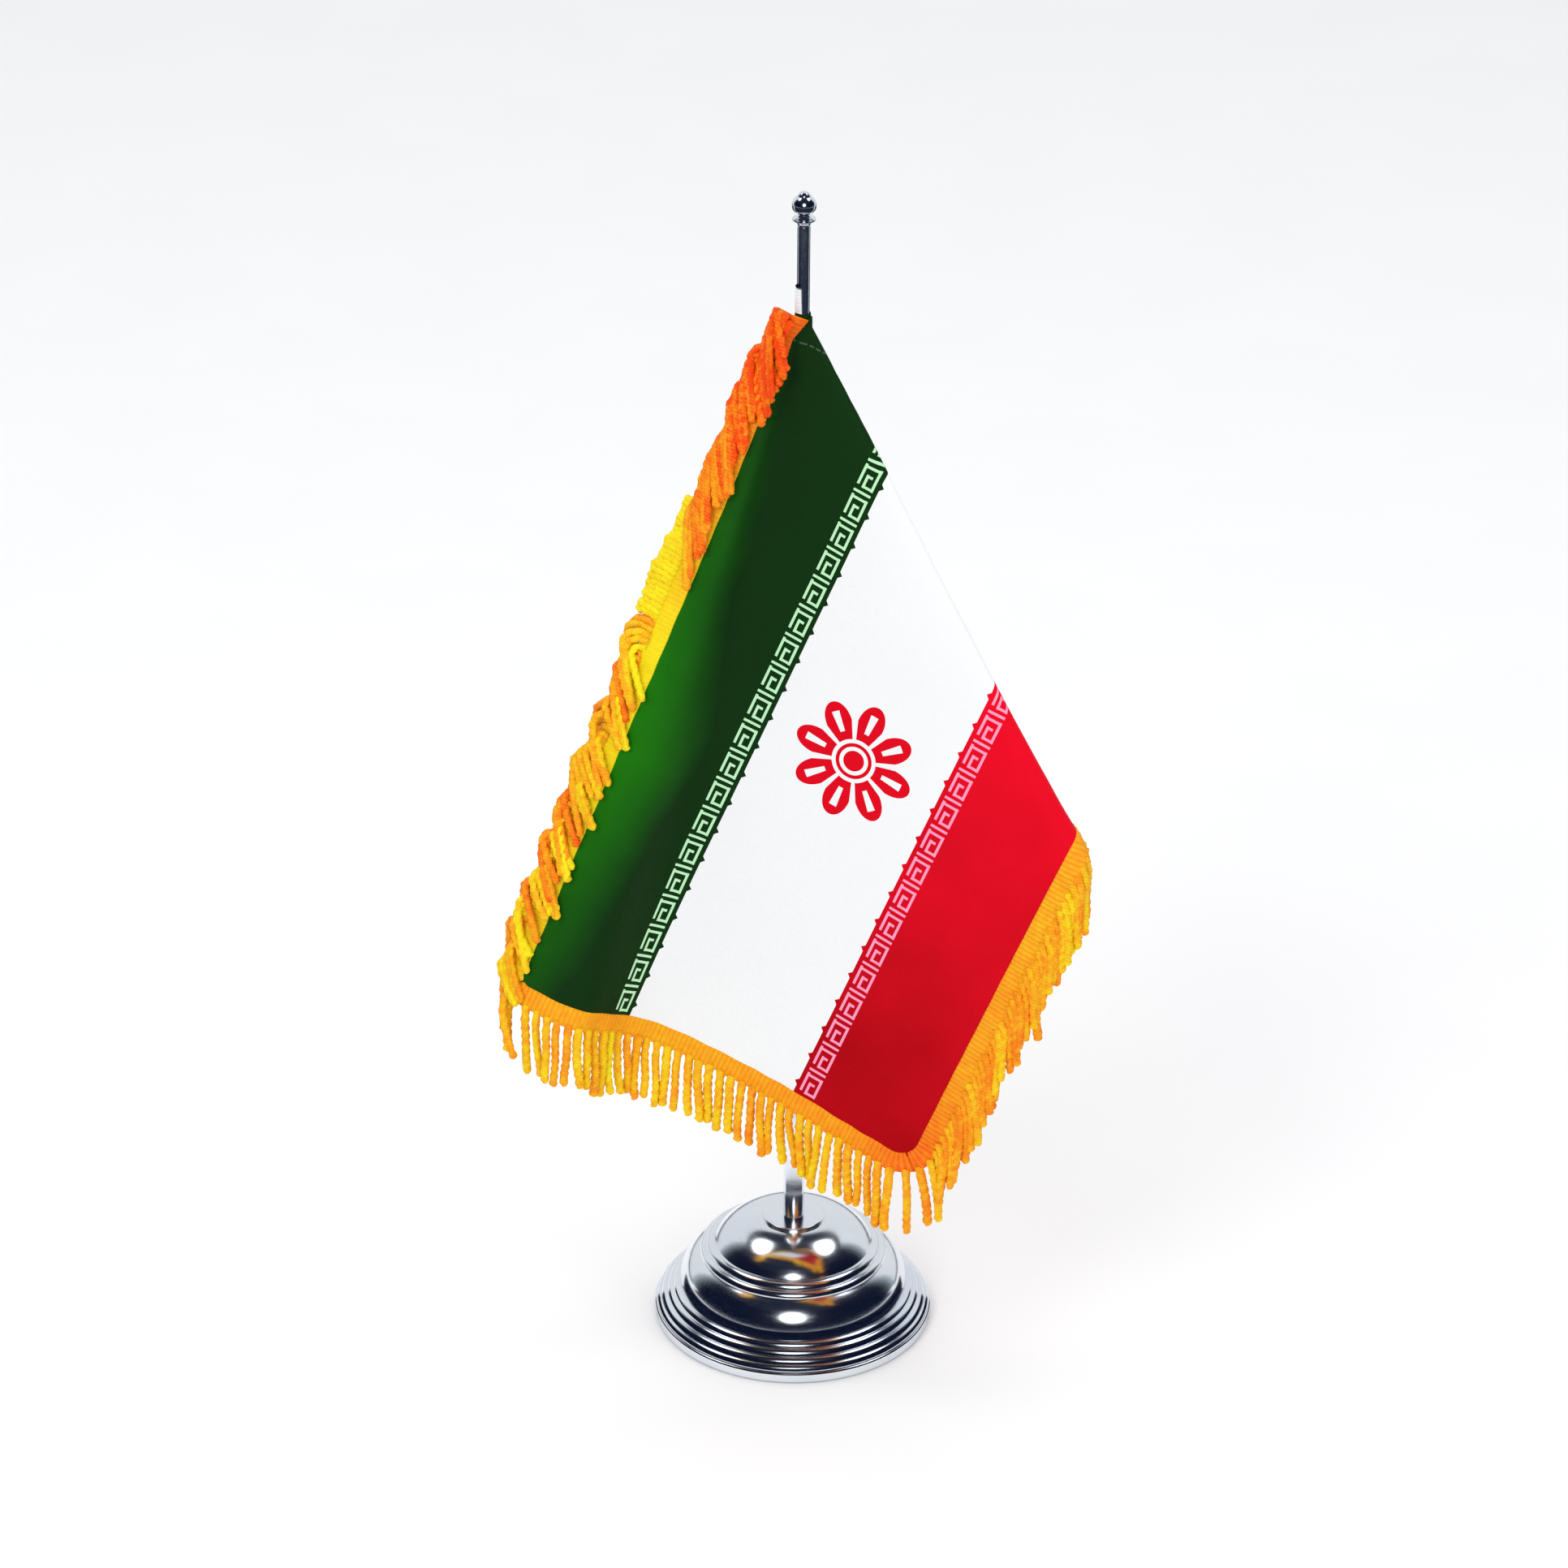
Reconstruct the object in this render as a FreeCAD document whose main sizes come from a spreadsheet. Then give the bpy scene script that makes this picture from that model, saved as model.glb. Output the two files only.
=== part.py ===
import FreeCAD, Part
import bisect
import math
import os
import Sketcher
from FreeCAD import Placement, Rotation, Vector

# Desk flag stand: a stepped, chromed round base, a two-stage pole with a
# small acorn finial, and a fringed tricolour flag that hangs from the pole.
# Millimetres, +Z up. The origin is on the pole's axis, at the table surface.

DIMENSIONS = {
    # Base
    "base_radius": 50.0,
    "shell_bottom": 0.4,
    "shell_top": 39.2,
    "shell_gauge": 0.9,
    "felt_radius": 48.6,
    "felt_thickness": 1.2,
    "plate_thickness": 1.0,
    "plate_inset": 0.4,
    "ballast_radius": 43.8,
    "ballast_top": 16.0,
    "recess_radius": 8.0,
    "recess_depth": 6.4,
    "disc_radius": 11.25,
    "disc_thickness": 1.15,
    # Fastening down the middle, M5
    "stud_radius": 2.5,
    "stud_hole_radius": 2.6,
    "stud_bottom": 2.9,
    "stud_engagement": 11.0,
    "spacer_radius": 5.0,
    "washer_radius": 5.5,
    "washer_thickness": 1.0,
    "nut_flats": 8.0,
    "nut_thickness": 4.0,
    # Pole
    "tube_radius": 3.8,
    "tube_length": 52.0,
    "tube_floor": 13.0,
    "tube_web": 1.5,
    "rod_radius": 2.15,
    "rod_clearance": 0.05,
    "rod_top": 423.9,
    "edge_break": 0.4,
    "seat_gap": 0.1,
    "drill_overrun": 1.0,
    "grub_radius": 0.75,
    "grub_height": 64.45,
    "grub_sunk": 0.2,
    "grub_socket_floor": 0.8,
    "pin_radius": 0.5,
    "pin_height": 403.2,
    "pin_head_radius": 0.8,
    "pin_head_height": 0.45,
    "pin_standoff": 0.6,
    # Finial, M2.5 stud
    "finial_stud_radius": 1.2,
    "finial_stud_length": 13.5,
    "finial_stud_depth": 6.5,
    "tap_runout": 0.6,
    "collar_radius": 3.87,
    "collar_height": 3.9,
    "acorn_radius": 4.0,
    "acorn_height": 7.8,
    # Flag, cut flat and hung from its top hoist corner
    "flag_length": 258.0,
    "flag_height": 162.0,
    "flag_top": 392.9,
    "cloth_thickness": 0.8,
    "sleeve_inner_radius": 2.25,
    "sleeve_outer_radius": 2.9,
    "heading_width": 6.0,
    "heading_thickness": 1.6,
    "fringe_drop": 24.5,
    "fringe_thickness": 4.0,
    "loop_height": 9.0,
    "loop_tape": 0.45,
    "loop_gap": 0.3,
    "loop_angle": 70.0,
}

# Where the small grub screw and the flag's hanging pin point, in degrees
# about the pole from +X.
GRUB_AZIMUTH = -107.0
PIN_AZIMUTH = -135.0

# The base's rings from the rim to the flat under the pole's disc: radius as a
# share of base_radius, height as a share of shell_top, and the bulge of the
# arc up to the next ring as a share of its chord.
BASE_RINGS = [
    (1.000, 0.082, 0.30),
    (0.984, 0.105, 0.22),
    (0.954, 0.166, 0.20),
    (0.910, 0.219, 0.20),
    (0.866, 0.273, 0.20),
    (0.822, 0.316, 0.13),
    (0.676, 0.643, 0.20),
    (0.628, 0.702, 0.20),
    (0.568, 0.758, 0.12),
    (0.224, 1.000, 0.0),
]

# Horizontal offset of the cloth for each millimetre of drop, seen from
# above: it leaves the pole towards the right, folds round there and comes
# back across the front to the flag's top edge on the left.
DRAPE_SLOPES = [
    (0.000, 0.000),
    (0.211, 0.099),
    (0.792, -0.484),
    (-0.114, -0.070),
    (-0.246, -0.121),
    (-0.302, -0.206),
    (-0.410, -0.157),
]

DRAPE_SAMPLES = 600
CLOTH_STEPS = 18
SLEEVE_GAP = 0.1

# The rulings beside the sleeve: the first one's angle as a multiple of the
# sleeve's own, and how fast the next ones open out.
FIRST_RULING = 1.25
RULING_GROWTH = 1.5
NEAR_RULINGS = 5

# The top edge: where its braid starts, and how its fringe rolls outwards, as
# a reach in heading widths and a fullness in fringe thicknesses.
TOP_BRAID_START = 11.0
TOP_STATIONS = 4
ROLL_GAP = 0.3
ROLL_REACH = 2.7
ROLL_FULLNESS = 0.75
FRINGE_GAP = 0.8

# Bulge of an arc that rounds a right angle.
QUARTER_ROUND = 0.207


def make_sheet(doc):
    """The spreadsheet that holds every driving dimension."""
    sheet = doc.addObject("Spreadsheet::Sheet", "Dims")
    for row, (alias, value) in enumerate(DIMENSIONS.items(), 1):
        sheet.set(f"A{row}", alias)
        sheet.set(f"B{row}", str(value))
        sheet.setAlias(f"B{row}", alias)
    doc.recompute()
    return sheet


def value_of(doc, expression):
    """The number an expression over the sheet's aliases stands for."""
    sheet = doc.Dims
    names = {alias: float(sheet.get(alias)) for alias in DIMENSIONS}
    for alias in sorted(names, key=len, reverse=True):
        expression = expression.replace(f"Dims.{alias}", f"({names[alias]})")
    return FreeCAD.Units.Quantity(expression).Value


def bind(obj, **properties):
    """Bind an object's properties to expressions over the sheet."""
    for name, expression in properties.items():
        obj.setExpression(name.replace("__", "."), expression)
    return obj


def cylinder(doc, name, radius, bottom, length):
    obj = doc.addObject("Part::Cylinder", name)
    return bind(obj, Radius=radius, Height=length, Placement__Base__z=bottom)


def cut(doc, name, base, tool):
    obj = doc.addObject("Part::Cut", name)
    obj.Base = base
    obj.Tool = tool
    return obj


def ring(doc, name, outer, inner, bottom, length):
    """A plain tube or washer standing on the pole's axis."""
    body = cylinder(doc, name + "_outside", outer, bottom, length)
    bore = cylinder(doc, name + "_bore", inner, bottom, length)
    return cut(doc, name, body, bore)


def origin_feature(body, role):
    return [f for f in body.Origin.OriginFeatures if f.Role == role][0]


def arc_between(start, end, bulge):
    """The arc from start to end that bulges to the right by bulge times its chord."""
    chord = end - start
    side = Vector(chord.y, -chord.x, 0)
    middle = (start + end) * 0.5 + side * bulge
    return Part.ArcOfCircle(start, middle, end)


def turned_body(doc, name, outline):
    """A lathe-turned piece: a closed outline of (radius, height, bulge) revolved about
    the pole's axis. Each corner is bound to the sheet, and each arc's radius follows from
    its chord and bulge."""
    body = doc.addObject("PartDesign::Body", name)
    sketch = body.newObject("Sketcher::SketchObject", name + "_profile")
    sketch.AttachmentSupport = (origin_feature(body, "XZ_Plane"), [""])
    sketch.MapMode = "FlatFace"
    corners = [Vector(value_of(doc, r), value_of(doc, h), 0) for r, h, _ in outline]
    count = len(outline)
    for i, (_, _, bulge) in enumerate(outline):
        start, end = corners[i], corners[(i + 1) % count]
        if bulge:
            sketch.addGeometry(arc_between(start, end, bulge), False)
        else:
            sketch.addGeometry(Part.LineSegment(start, end), False)
    first_point = [start_vertex(sketch, i, corners[i]) for i in range(count)]
    for i in range(count):
        last = 3 - first_point[i]
        follower = (i + 1) % count
        sketch.addConstraint(
            Sketcher.Constraint("Coincident", i, last, follower, first_point[follower]))
    for i, (radius, height, bulge) in enumerate(outline):
        pin_corner(sketch, i, first_point[i], corners[i], radius, height)
        if bulge:
            chord = (corners[(i + 1) % count] - corners[i]).Length
            arc_radius = chord * (0.25 + bulge * bulge) / (2 * abs(bulge))
            sketch.addConstraint(Sketcher.Constraint("Radius", i, arc_radius))
    turn = body.newObject("PartDesign::Revolution", name + "_turned")
    turn.Profile = sketch
    turn.ReferenceAxis = (sketch, ["V_Axis"])
    turn.Angle = 360.0
    doc.recompute()
    return body


def start_vertex(sketch, index, corner):
    """Which end of a sketch line or arc, 1 or 2, lies on the given corner."""
    return 1 if sketch.getPoint(index, 1).distanceToPoint(corner) < 1e-6 else 2


def pin_corner(sketch, index, vertex, corner, radius, height):
    """Fix one outline corner at its radius and height from the sheet."""
    for kind, expression, distance in (
            ("DistanceX", radius, corner.x), ("DistanceY", height, corner.y)):
        number = sketch.addConstraint(
            Sketcher.Constraint(kind, -1, 1, index, vertex, distance))
        sketch.setExpression(f"Constraints[{number}]", expression)


def radial_hole(doc, body, name, radius, height, azimuth, depth):
    """Drill a hole square to the pole's axis, from the middle outwards."""
    sketch = body.newObject("Sketcher::SketchObject", name + "_place")
    sketch.AttachmentSupport = (origin_feature(body, "XZ_Plane"), [""])
    sketch.MapMode = "FlatFace"
    turn = Rotation(Vector(0, 1, 0), azimuth + 90.0)
    sketch.AttachmentOffset = Placement(Vector(0, 0, 0), turn)
    centre = Vector(0, value_of(doc, height), 0)
    circle = Part.Circle(centre, Vector(0, 0, 1), value_of(doc, radius))
    sketch.addGeometry(circle, False)
    sketch.addConstraint(Sketcher.Constraint("PointOnObject", 0, 3, -2))
    rise = sketch.addConstraint(Sketcher.Constraint("DistanceY", -1, 1, 0, 3, centre.y))
    sketch.setExpression(f"Constraints[{rise}]", height)
    size = sketch.addConstraint(Sketcher.Constraint("Radius", 0, circle.Radius))
    sketch.setExpression(f"Constraints[{size}]", radius)
    before = body.Shape.Volume
    pocket = body.newObject("PartDesign::Pocket", name)
    pocket.Profile = sketch
    pocket.Type = "Length"
    bind(pocket, Length=depth)
    pocket.Reversed = True
    doc.recompute()
    if body.Shape.Volume >= before:
        raise RuntimeError(f"{name} cut nothing")
    return body


def radial_placement(azimuth, distance, height):
    """A local frame at a point round the pole whose Z axis points outwards."""
    angle = math.radians(azimuth)
    outward = Vector(math.cos(angle), math.sin(angle), 0)
    spot = outward * distance + Vector(0, 0, height)
    return Placement(spot, Rotation(Vector(0, 0, 1), outward))


def make_base_shell(doc):
    """Spun sheet with stepped rings, the same gauge all over."""
    outside = [("Dims.base_radius", "Dims.shell_bottom", 0.0)]
    inside = [("Dims.base_radius - Dims.shell_gauge", "Dims.shell_bottom", 0.0)]
    for radius, height, bulge in BASE_RINGS:
        r = f"Dims.base_radius * {radius}"
        z = f"Dims.shell_top * {height}"
        outside.append((r, z, bulge))
        inside.append((f"{r} - Dims.shell_gauge", f"{z} - Dims.shell_gauge", bulge))
    outside.append(("Dims.stud_hole_radius", "Dims.shell_top", 0.0))
    inside.append(("Dims.stud_hole_radius", "Dims.shell_top - Dims.shell_gauge", 0.0))
    return turned_body(doc, "base_shell", outside + reverse_outline(inside))


def reverse_outline(outline):
    """The same stretch of outline walked the other way, its last side left straight."""
    walked = []
    for i in range(len(outline) - 1, -1, -1):
        bulge = -outline[i - 1][2] if i > 0 else 0.0
        walked.append((outline[i][0], outline[i][1], bulge))
    return walked


def make_base_ballast(doc):
    """Cast iron weight with a recess below for the nut and washer."""
    bottom = "Dims.felt_thickness + Dims.plate_thickness"
    recess = f"{bottom} + Dims.recess_depth"
    return turned_body(doc, "base_ballast", [
        ("Dims.recess_radius", bottom, 0.0),
        ("Dims.ballast_radius", bottom, 0.0),
        ("Dims.ballast_radius", "Dims.ballast_top * 0.34", 0.0),
        ("Dims.ballast_radius * 0.87", "Dims.ballast_top * 0.68", 0.0),
        ("Dims.ballast_radius * 0.83", "Dims.ballast_top", 0.0),
        ("Dims.stud_hole_radius", "Dims.ballast_top", 0.0),
        ("Dims.stud_hole_radius", recess, 0.0),
        ("Dims.recess_radius", recess, 0.0),
    ])


def make_pole_disc(doc):
    """Flat disc between the base and the pole, with an eased rim."""
    rim = "Dims.disc_radius"
    break_ = "Dims.edge_break"
    top = "Dims.shell_top + Dims.disc_thickness"
    return turned_body(doc, "pole_disc", [
        ("Dims.stud_hole_radius", "Dims.shell_top", 0.0),
        (rim, "Dims.shell_top", 0.0),
        (rim, f"{top} - {break_}", QUARTER_ROUND),
        (f"{rim} - {break_}", top, 0.0),
        ("Dims.stud_hole_radius", top, 0.0),
    ])


def make_clamp_pieces(doc):
    """Stud, spacer, washer and nut that hold the base and pole together."""
    recess_top = "Dims.felt_thickness + Dims.plate_thickness + Dims.recess_depth"
    disc_top = "Dims.shell_top + Dims.disc_thickness"
    stud = cylinder(doc, "clamp_stud", "Dims.stud_radius", "Dims.stud_bottom",
                    f"{disc_top} + Dims.stud_engagement - Dims.stud_bottom")
    spacer = ring(doc, "core_spacer", "Dims.spacer_radius", "Dims.stud_hole_radius",
                  "Dims.ballast_top", "Dims.shell_top - Dims.shell_gauge - Dims.ballast_top")
    washer = ring(doc, "clamp_washer", "Dims.washer_radius", "Dims.stud_hole_radius",
                  f"{recess_top} - Dims.washer_thickness", "Dims.washer_thickness")
    nut_bottom = f"{recess_top} - Dims.washer_thickness - Dims.nut_thickness"
    blank = doc.addObject("Part::Prism", "nut_blank")
    blank.Polygon = 6
    bind(blank, Circumradius="Dims.nut_flats / 2 / cos(30)", Height="Dims.nut_thickness",
         Placement__Base__z=nut_bottom)
    bore = cylinder(doc, "nut_bore", "Dims.stud_hole_radius", nut_bottom, "Dims.nut_thickness")
    nut = cut(doc, "clamp_nut", blank, bore)
    return [stud, spacer, washer, nut]


def make_base_closure(doc):
    """Closing plate and the felt pad that the stand rests on."""
    plate = cylinder(doc, "base_plate", "Dims.felt_radius - Dims.plate_inset",
                     "Dims.felt_thickness", "Dims.plate_thickness")
    felt = cylinder(doc, "felt_pad", "Dims.felt_radius", "0", "Dims.felt_thickness")
    return [plate, felt]


def make_lower_tube(doc):
    """Thick lower tube: the stud screws in from below, the rod drops in from above."""
    bottom = "Dims.shell_top + Dims.disc_thickness"
    top = f"{bottom} + Dims.tube_length"
    bore = "Dims.rod_radius + Dims.rod_clearance"
    body = turned_body(doc, "lower_tube", [
        ("0", f"{bottom} + Dims.tube_floor - Dims.tube_web", 0.0),
        ("Dims.stud_hole_radius", f"{bottom} + Dims.tube_floor - Dims.tube_web", 0.0),
        ("Dims.stud_hole_radius", bottom, 0.0),
        ("Dims.tube_radius", bottom, 0.0),
        ("Dims.tube_radius", f"{top} - Dims.edge_break", QUARTER_ROUND),
        ("Dims.tube_radius - Dims.edge_break", top, 0.0),
        (bore, top, 0.0),
        (bore, f"{bottom} + Dims.tube_floor", 0.0),
        ("0", f"{bottom} + Dims.tube_floor", 0.0),
    ])
    return radial_hole(doc, body, "grub_hole", "Dims.grub_radius + Dims.rod_clearance",
                       "Dims.grub_height", GRUB_AZIMUTH, "Dims.tube_radius + Dims.drill_overrun")


def make_grub_screw(doc):
    """Tiny socket screw that locks the rod in the lower tube."""
    start = value_of(doc, "Dims.rod_radius + Dims.seat_gap")
    floor = start + value_of(doc, "Dims.grub_socket_floor")
    height = value_of(doc, "Dims.grub_height")
    blank = doc.addObject("Part::Cylinder", "grub_blank")
    bind(blank, Radius="Dims.grub_radius",
         Height="Dims.tube_radius - Dims.rod_radius - Dims.seat_gap - Dims.grub_sunk")
    blank.Placement = radial_placement(GRUB_AZIMUTH, start, height)
    socket = doc.addObject("Part::Prism", "grub_socket")
    socket.Polygon = 6
    bind(socket, Circumradius="Dims.grub_radius * 0.5", Height="Dims.grub_radius")
    socket.Placement = radial_placement(GRUB_AZIMUTH, floor, height)
    return cut(doc, "grub_screw", blank, socket)


def make_upper_rod(doc):
    """Slim rod with a tapped top for the finial and a drilled pin hole."""
    bottom = "Dims.shell_top + Dims.disc_thickness + Dims.tube_floor + Dims.rod_clearance"
    hole = "Dims.finial_stud_radius + Dims.rod_clearance"
    hole_floor = "Dims.rod_top - Dims.finial_stud_depth - Dims.tap_runout"
    break_ = "Dims.edge_break"
    body = turned_body(doc, "upper_rod", [
        ("0", bottom, 0.0),
        (f"Dims.rod_radius - {break_}", bottom, 0.0),
        ("Dims.rod_radius", f"{bottom} + {break_}", 0.0),
        ("Dims.rod_radius", "Dims.rod_top", 0.0),
        (hole, "Dims.rod_top", 0.0),
        (hole, hole_floor, 0.0),
        ("0", hole_floor, 0.0),
    ])
    return radial_hole(doc, body, "pin_hole", "Dims.pin_radius", "Dims.pin_height",
                       PIN_AZIMUTH, "Dims.rod_radius + Dims.drill_overrun")


def make_flag_pin(doc):
    """Small headed pin in the rod that carries the flag's hanging loop."""
    height = value_of(doc, "Dims.pin_height")
    shank = doc.addObject("Part::Cylinder", "pin_shank")
    bind(shank, Radius="Dims.pin_radius",
         Height="Dims.rod_radius + Dims.pin_standoff - Dims.seat_gap")
    shank.Placement = radial_placement(PIN_AZIMUTH, value_of(doc, "Dims.seat_gap"), height)
    head = doc.addObject("Part::Cone", "pin_head")
    bind(head, Radius1="Dims.pin_head_radius", Radius2="Dims.pin_radius",
         Height="Dims.pin_head_height")
    seat = value_of(doc, "Dims.rod_radius + Dims.pin_standoff")
    head.Placement = radial_placement(PIN_AZIMUTH, seat, height)
    pin = doc.addObject("Part::Fuse", "flag_pin")
    pin.Base = shank
    pin.Tool = head
    return pin


def make_finial(doc):
    """Turned collar, acorn and the stud that screws into the rod."""
    foot = "Dims.rod_top + Dims.seat_gap"
    hole = "Dims.finial_stud_radius + Dims.rod_clearance"
    collar = turned_body(doc, "finial_collar", [
        (hole, foot, 0.0),
        ("Dims.collar_radius * 0.54", foot, 0.0),
        ("Dims.collar_radius * 0.56", f"{foot} + Dims.collar_height * 0.15", 0.0),
        ("Dims.collar_radius * 0.97", f"{foot} + Dims.collar_height * 0.50", 0.25),
        ("Dims.collar_radius * 0.97", f"{foot} + Dims.collar_height * 0.68", 0.0),
        ("Dims.collar_radius * 0.50", f"{foot} + Dims.collar_height", 0.0),
        (hole, f"{foot} + Dims.collar_height", 0.0),
    ])
    seat = f"{foot} + Dims.collar_height"
    ball = "Dims.acorn_radius"
    acorn = turned_body(doc, "finial_acorn", [
        ("0", f"{seat} + Dims.acorn_height * 0.5", 0.0),
        (hole, f"{seat} + Dims.acorn_height * 0.5", 0.0),
        (hole, seat, 0.0),
        (f"{ball} * 0.47", seat, 0.0),
        (f"{ball} * 0.47", f"{seat} + Dims.acorn_height * 0.09", 0.0),
        (f"{ball} * 0.74", f"{seat} + Dims.acorn_height * 0.13", 0.16),
        (ball, f"{seat} + Dims.acorn_height * 0.37", 0.14),
        (f"{ball} * 0.62", f"{seat} + Dims.acorn_height * 0.79", 0.0),
        (f"{ball} * 0.53", f"{seat} + Dims.acorn_height * 0.82", 0.12),
        (f"{ball} * 0.42", f"{seat} + Dims.acorn_height * 0.94", 0.12),
        (f"{ball} * 0.22", f"{seat} + Dims.acorn_height", 0.0),
        ("0", f"{seat} + Dims.acorn_height", 0.0),
    ])
    stud = cylinder(doc, "finial_stud", "Dims.finial_stud_radius",
                    "Dims.rod_top - Dims.finial_stud_depth", "Dims.finial_stud_length")
    return [collar, acorn, stud]


def make_hanging_loop(doc):
    """Tape loop between the pin and the top of the sleeve, hugging the rod."""
    bottom = "Dims.flag_top + Dims.loop_gap"
    strip = cylinder(doc, "loop_outside", "Dims.sleeve_inner_radius + Dims.loop_tape", bottom,
                     "Dims.loop_height")
    bind(strip, Angle="Dims.loop_angle * 1 deg")
    strip.Placement.Rotation = Rotation(Vector(0, 0, 1), PIN_AZIMUTH - strip.Angle.Value / 2)
    bore = cylinder(doc, "loop_bore", "Dims.sleeve_inner_radius", bottom, "Dims.loop_height")
    return cut(doc, "hanging_loop", strip, bore)


def make_hoist_sleeve(doc):
    """Sewn sleeve along the hoist, turning freely round the rod."""
    return ring(doc, "hoist_sleeve", "Dims.sleeve_outer_radius", "Dims.sleeve_inner_radius",
                "Dims.flag_top - Dims.flag_height", "Dims.flag_height")


class Drape:
    """The flag hung by its top hoist corner: a flat sheet rolled into a cone about
    that corner. A point of the flat flag, x from the hoist and y down from the top
    edge, keeps its distance from the corner, and its angle there sets the way it hangs."""

    def __init__(self, doc):
        self.corner = Vector(0, 0, value_of(doc, "Dims.flag_top"))
        self.rays = [self.ray(i / DRAPE_SAMPLES) for i in range(DRAPE_SAMPLES + 1)]
        self.swept = [0.0]
        for before, after in zip(self.rays, self.rays[1:]):
            self.swept.append(self.swept[-1] + before.getAngle(after))

    @staticmethod
    def ray(share):
        """Direction of the cone's ruling at a share, 0 to 1, of the slope curve, which is
        a uniform cubic B-spline through its two end points."""
        points = [Vector(x, y, -1) for x, y in DRAPE_SLOPES]
        points = [points[0] * 2 - points[1]] + points + [points[-1] * 2 - points[-2]]
        spans = len(DRAPE_SLOPES) - 1
        span = min(int(share * spans), spans - 1)
        t = share * spans - span
        weights = ((1 - t) ** 3, 3 * t ** 3 - 6 * t ** 2 + 4,
                   -3 * t ** 3 + 3 * t ** 2 + 3 * t + 1, t ** 3)
        total = Vector(0, 0, 0)
        for weight, point in zip(weights, points[span:span + 4]):
            total += point * (weight / 6)
        return total.normalize()

    def direction(self, angle):
        """Ruling for a flat angle at the corner: 0 is the hoist, a right angle the top edge."""
        target = min(max(angle / (math.pi / 2), 0.0), 1.0) * self.swept[-1]
        i = min(bisect.bisect_right(self.swept, target), DRAPE_SAMPLES) - 1
        share = (target - self.swept[i]) / (self.swept[i + 1] - self.swept[i])
        return (self.rays[i] * (1 - share) + self.rays[i + 1] * share).normalize()

    def across(self, angle):
        """Unit vector in the sheet, square to the ruling, towards the top edge."""
        step = 0.01
        low = min(max(angle - step, 0.0), math.pi / 2 - 2 * step)
        along = self.direction(low + 2 * step) - self.direction(low)
        ruling = self.direction(angle)
        return (along - ruling * along.dot(ruling)).normalize()

    def place(self, x, y):
        """Point of the hung sheet and the sheet's normal there."""
        angle = math.atan2(x, max(y, 0.0)) if y > 0 else math.pi / 2
        ruling = self.direction(angle)
        across = self.across(angle)
        point = self.corner + ruling * math.hypot(x, max(y, 0.0)) - across * min(y, 0.0)
        return point, ruling.cross(across)


def slab_section(start, end, offset):
    """Closed four-sided section between two points, with thickness to both sides."""
    corners = [start - offset, end - offset, end + offset, start + offset]
    return Part.makePolygon(corners + corners[:1])


def loft(sections):
    return Part.makeLoft(sections, True, True)


def sheet_band(drape, pairs, thickness):
    """Solid band of cloth between pairs of flat points."""
    sections = []
    for (x0, y0), (x1, y1) in pairs:
        start, normal = drape.place(x0, y0)
        end, _ = drape.place(x1, y1)
        sections.append(slab_section(start, end, normal * (thickness / 2)))
    return loft(sections)


def spread(first, last, count):
    return [first + (last - first) * i / count for i in range(count + 1)]


def make_flag_cloth(doc, drape):
    """The printed cloth, lofted ruling by ruling from just clear of the sleeve out to
    its bottom and fly edges."""
    length = value_of(doc, "Dims.flag_length")
    height = value_of(doc, "Dims.flag_height")
    thickness = value_of(doc, "Dims.cloth_thickness")
    clear = value_of(doc, "Dims.sleeve_outer_radius + Dims.cloth_thickness / 2") + SLEEVE_GAP

    def rulings(angles, reach):
        pairs = []
        for angle in angles:
            sine, cosine = math.sin(angle), math.cos(angle)
            ray = drape.direction(angle)
            near = clear / math.hypot(ray.x, ray.y)
            far = reach(sine, cosine)
            pairs.append(((near * sine, near * cosine), (far * sine, far * cosine)))
        return sheet_band(drape, pairs, thickness)

    lower = rulings(lower_angles(doc), lambda s, c: height / c)
    upper = rulings(upper_angles(doc), lambda s, c: length / s)
    return lower.fuse(upper)


def lower_angles(doc):
    """Rulings that end on the bottom edge: close together beside the sleeve."""
    length = value_of(doc, "Dims.flag_length")
    height = value_of(doc, "Dims.flag_height")
    first = math.asin(value_of(doc, "Dims.sleeve_outer_radius") * FIRST_RULING / height)
    near = [first * RULING_GROWTH ** i for i in range(NEAR_RULINGS)]
    return near + spread(near[-1] * RULING_GROWTH, math.atan2(length, height), CLOTH_STEPS)


def upper_angles(doc):
    """Rulings that end on the fly edge, up to the top edge."""
    length = value_of(doc, "Dims.flag_length")
    height = value_of(doc, "Dims.flag_height")
    return spread(math.atan2(length, height), math.pi / 2, CLOTH_STEPS // 2)


def bottom_edge(doc):
    """Flat x stations along the bottom edge, at the same rulings as the cloth."""
    height = value_of(doc, "Dims.flag_height")
    return [height * math.tan(angle) for angle in lower_angles(doc)]


def fly_edge(doc):
    """Flat y stations up the fly edge, at the same rulings as the cloth."""
    length = value_of(doc, "Dims.flag_length")
    return [length * math.tan(math.pi / 2 - angle) for angle in upper_angles(doc)]


def make_headings(doc, drape):
    """Woven braid sewn round three edges, from which the fringe hangs."""
    length = value_of(doc, "Dims.flag_length")
    height = value_of(doc, "Dims.flag_height")
    width = value_of(doc, "Dims.heading_width")
    thickness = value_of(doc, "Dims.heading_thickness")
    bottom = [((x, height), (x, height + width)) for x in bottom_edge(doc)]
    fly = [((length, y), (length + width, y)) for y in [height + width] + fly_edge(doc)]
    top = [((x, 0.0), (x, -width))
           for x in spread(TOP_BRAID_START, length + width, TOP_STATIONS)]
    return {
        "bottom_heading": sheet_band(drape, bottom, thickness),
        "fly_heading": sheet_band(drape, fly, thickness),
        "top_heading": sheet_band(drape, top, thickness),
    }


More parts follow.
